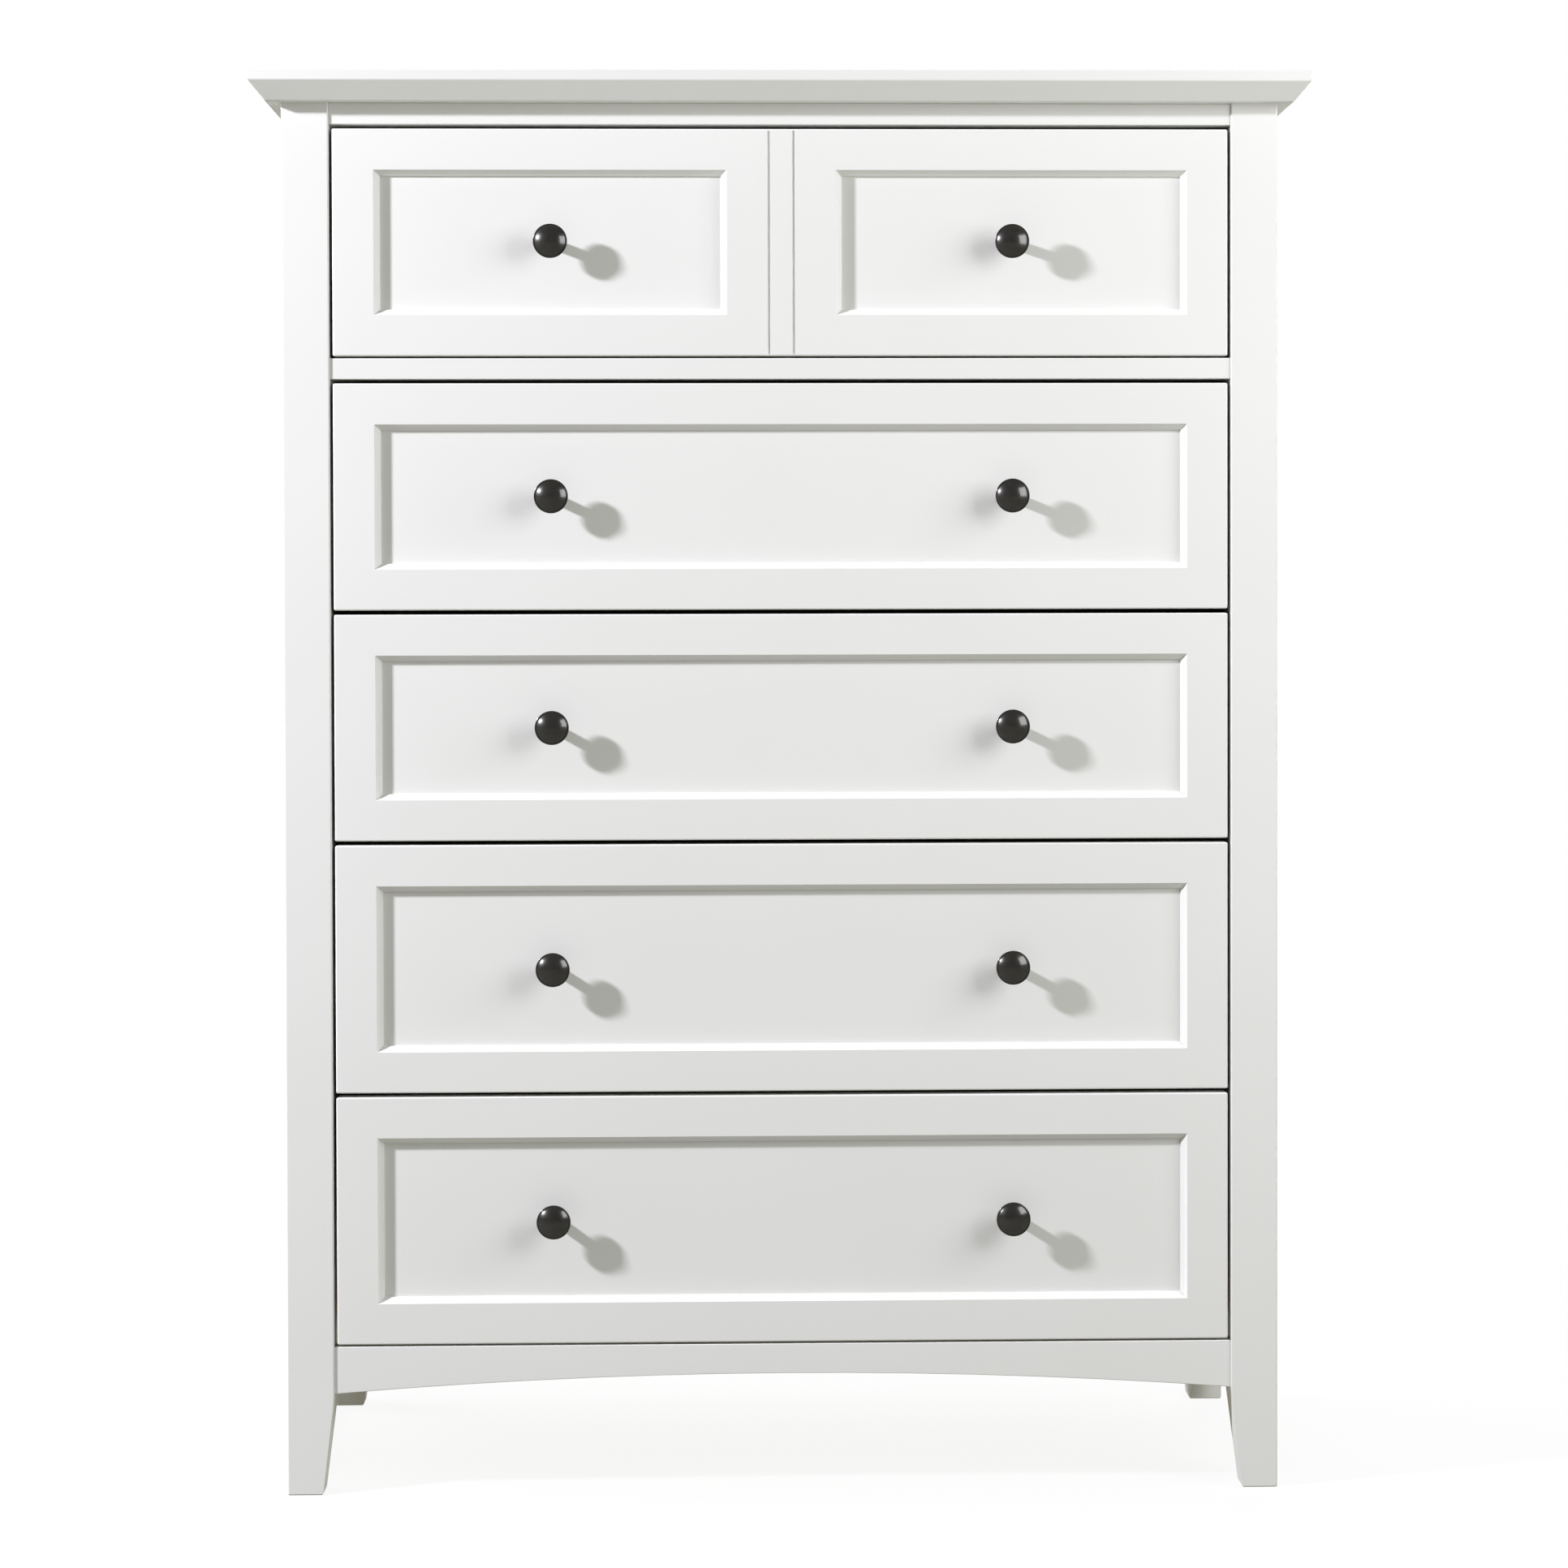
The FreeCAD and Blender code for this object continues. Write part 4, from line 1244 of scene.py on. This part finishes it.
class CHEST_OT_fittings(bpy.types.Operator):
    """Plate the slides, and add their screws and the nails in the back"""

    bl_idname = "chest.fittings"
    bl_label = "Fit Slides and Back"

    def execute(self, context):
        """Finish the slides and add the small steel parts."""
        settings = context.scene.chest_fittings
        steel = zinc_finish("zinc_plated_slide_steel", streak_length=40 * MM)
        paint(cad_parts["case_slides"], steel)
        heads = zinc_finish("zinc_plated_heads", streak_length=1.5 * MM)
        for drawer in DRAWERS:
            paint(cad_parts[f"drawer_{drawer}_slides"], steel)
            paint(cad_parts[f"middle_slides_{drawer}"], steel)
            self.drive_screws(settings, drawer, heads)
        self.drive_nails(settings, heads)
        return {"FINISHED"}

    def drive_screws(self, settings, drawer, zinc):
        """Pan-head screws with a cross recess that hold a drawer's slides to its box."""
        along_slide = (0.06, 0.35, 0.65, 0.94)
        slide_low, slide_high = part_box(f"drawer_{drawer}_slides")
        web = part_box(f"drawer_{drawer}_box")[1].x + settings.web_thickness
        middle_z = (slide_low.z + slide_high.z) / 2
        length = slide_high.y - slide_low.y
        bm = bmesh.new()
        for side in (-1, 1):
            for share in along_slide:
                place = Vector((side * web, slide_low.y + share * length, middle_z))
                self.screw_head(bm, settings, place, side)
        piece_from(bm, f"drawer_{drawer}_slide_screws", f"drawer_{drawer}", zinc)

    def screw_head(self, bm, settings, place, side):
        """One closed pan head whose recess faces left (side -1) or right (side 1).
        Its flat top, recess and rounded edge are shares of its radius and height."""
        radius, height = settings.screw_radius, settings.screw_height
        land = 0.62 * radius  # flat top of the head
        upright = 0.3  # share of the height below the rounded edge
        segments, steps = 28, 4
        before = set(bm.verts)
        section = [(radius, 0)]
        for step in range(steps + 1):
            angle = math.pi / 2 * step / steps
            rise = height * (upright + (1 - upright) * math.sin(angle))
            section.append((land + (radius - land) * math.cos(angle), rise))
        rings = []
        for reach, rise in section:
            ring = []
            for i in range(segments):
                angle = 2 * math.pi * i / segments
                corner = (reach * math.cos(angle), -rise, reach * math.sin(angle))
                ring.append(bm.verts.new(corner))
            rings.append(ring)
        skin(bm, rings)
        bm.faces.new(rings[0])
        mouth = self.cross_loop(bm, 0.5 * radius, 0.13 * radius, -height)
        floor = self.cross_loop(bm, 0.28 * radius, 0.09 * radius, -0.35 * height)
        fill(bm, [rings[-1], mouth])
        skin(bm, [mouth, floor])
        bm.faces.new(floor)
        made = [vert for vert in bm.verts if vert not in before]
        turn = Matrix.Translation(place) @ Matrix.Rotation(side * math.pi / 2, 4, "Z")
        bmesh.ops.transform(bm, matrix=turn, verts=made)

    def cross_loop(self, bm, reach, half, depth):
        """The outline of a cross whose arms are 2 * half wide, at Y = depth."""
        corners = []
        for quarter in range(4):
            c, s = math.cos(quarter * math.pi / 2), math.sin(quarter * math.pi / 2)
            for x, z in ((reach, -half), (reach, half), (half, half)):
                corners.append(bm.verts.new((x * c - z * s, depth, x * s + z * c)))
        return corners

    def drive_nails(self, settings, zinc):
        """Domed nail heads round the back panel, into the posts and rails."""
        from_side, from_end = 4.5 * MM, 15 * MM
        facets = 20
        low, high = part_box("back_panel")
        radius, height = settings.nail_radius, settings.nail_height
        profile = [(0, -height), (0.5 * radius, -0.92 * height), (0.85 * radius, -0.6 * height)]
        profile += [(radius, -0.15 * height), (radius, 0), (0, 0)]
        beside = high.x - from_side
        first, last = low.z + from_end, high.z - from_end
        rows = max(2, round((last - first) / settings.nail_spacing))
        places = []
        for side in (-1, 1):
            places += [(side * beside, first + (last - first) * i / rows) for i in range(rows + 1)]
        columns = max(2, round(2 * beside / settings.nail_spacing))
        for rail in ("rear_lower_rail", "rear_upper_rail"):
            rail_low, rail_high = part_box(rail)
            z = (rail_low.z + rail_high.z) / 2
            places += [(beside * (2 * i / columns - 1), z) for i in range(1, columns)]
        bm = bmesh.new()
        for x, z in places:
            lathe(bm, profile, x, high.y, z, facets)
        piece_from(bm, "back_nails", "case", zinc)


class CHEST_PT_sidebar(bpy.types.Panel):
    """The chest's makers and their sizes"""

    bl_label = "Tall Chest"
    bl_idname = "CHEST_PT_sidebar"
    bl_space_type = "VIEW_3D"
    bl_region_type = "UI"
    bl_category = "Chest"

    def draw(self, context):
        """List each group's operator and its settings."""
        for title, operator, group in SECTIONS:
            box = self.layout.box()
            box.operator(operator, text=title)
            if group:
                settings = getattr(context.scene, group)
                for name in settings.__annotations__:
                    box.prop(settings, name)


SECTIONS = (
    ("Studio", "chest.studio", "chest_studio"),
    ("Case", "chest.case", "chest_lacquer"),
    ("Inside", "chest.inside", "chest_timber"),
    ("Drawer fronts", "chest.fronts", "chest_fronts"),
    ("Knobs", "chest.knobs", "chest_knobs"),
    ("Fittings", "chest.fittings", "chest_fittings"),
)

SETTINGS = {
    "chest_studio": StudioSettings,
    "chest_lacquer": LacquerSettings,
    "chest_timber": TimberSettings,
    "chest_fronts": FrontSettings,
    "chest_knobs": KnobSettings,
    "chest_fittings": FittingSettings,
}

CLASSES = (
    *SETTINGS.values(),
    CHEST_OT_studio,
    CHEST_OT_case,
    CHEST_OT_inside,
    CHEST_OT_fronts,
    CHEST_OT_knobs,
    CHEST_OT_fittings,
    CHEST_PT_sidebar,
)


def register():
    """Register the classes and hang the settings on the scene."""
    for cls in CLASSES:
        bpy.utils.register_class(cls)
    for name, group in SETTINGS.items():
        setattr(bpy.types.Scene, name, PointerProperty(type=group))


def unregister():
    """Undo register."""
    for name in SETTINGS:
        delattr(bpy.types.Scene, name)
    for cls in reversed(CLASSES):
        bpy.utils.unregister_class(cls)


def main():
    """Build the chest's looks in order."""
    register()
    bpy.ops.chest.studio()
    bpy.ops.chest.case()
    bpy.ops.chest.inside()
    bpy.ops.chest.fronts()
    bpy.ops.chest.knobs()
    bpy.ops.chest.fittings()


if __name__ == "__main__":
    main()
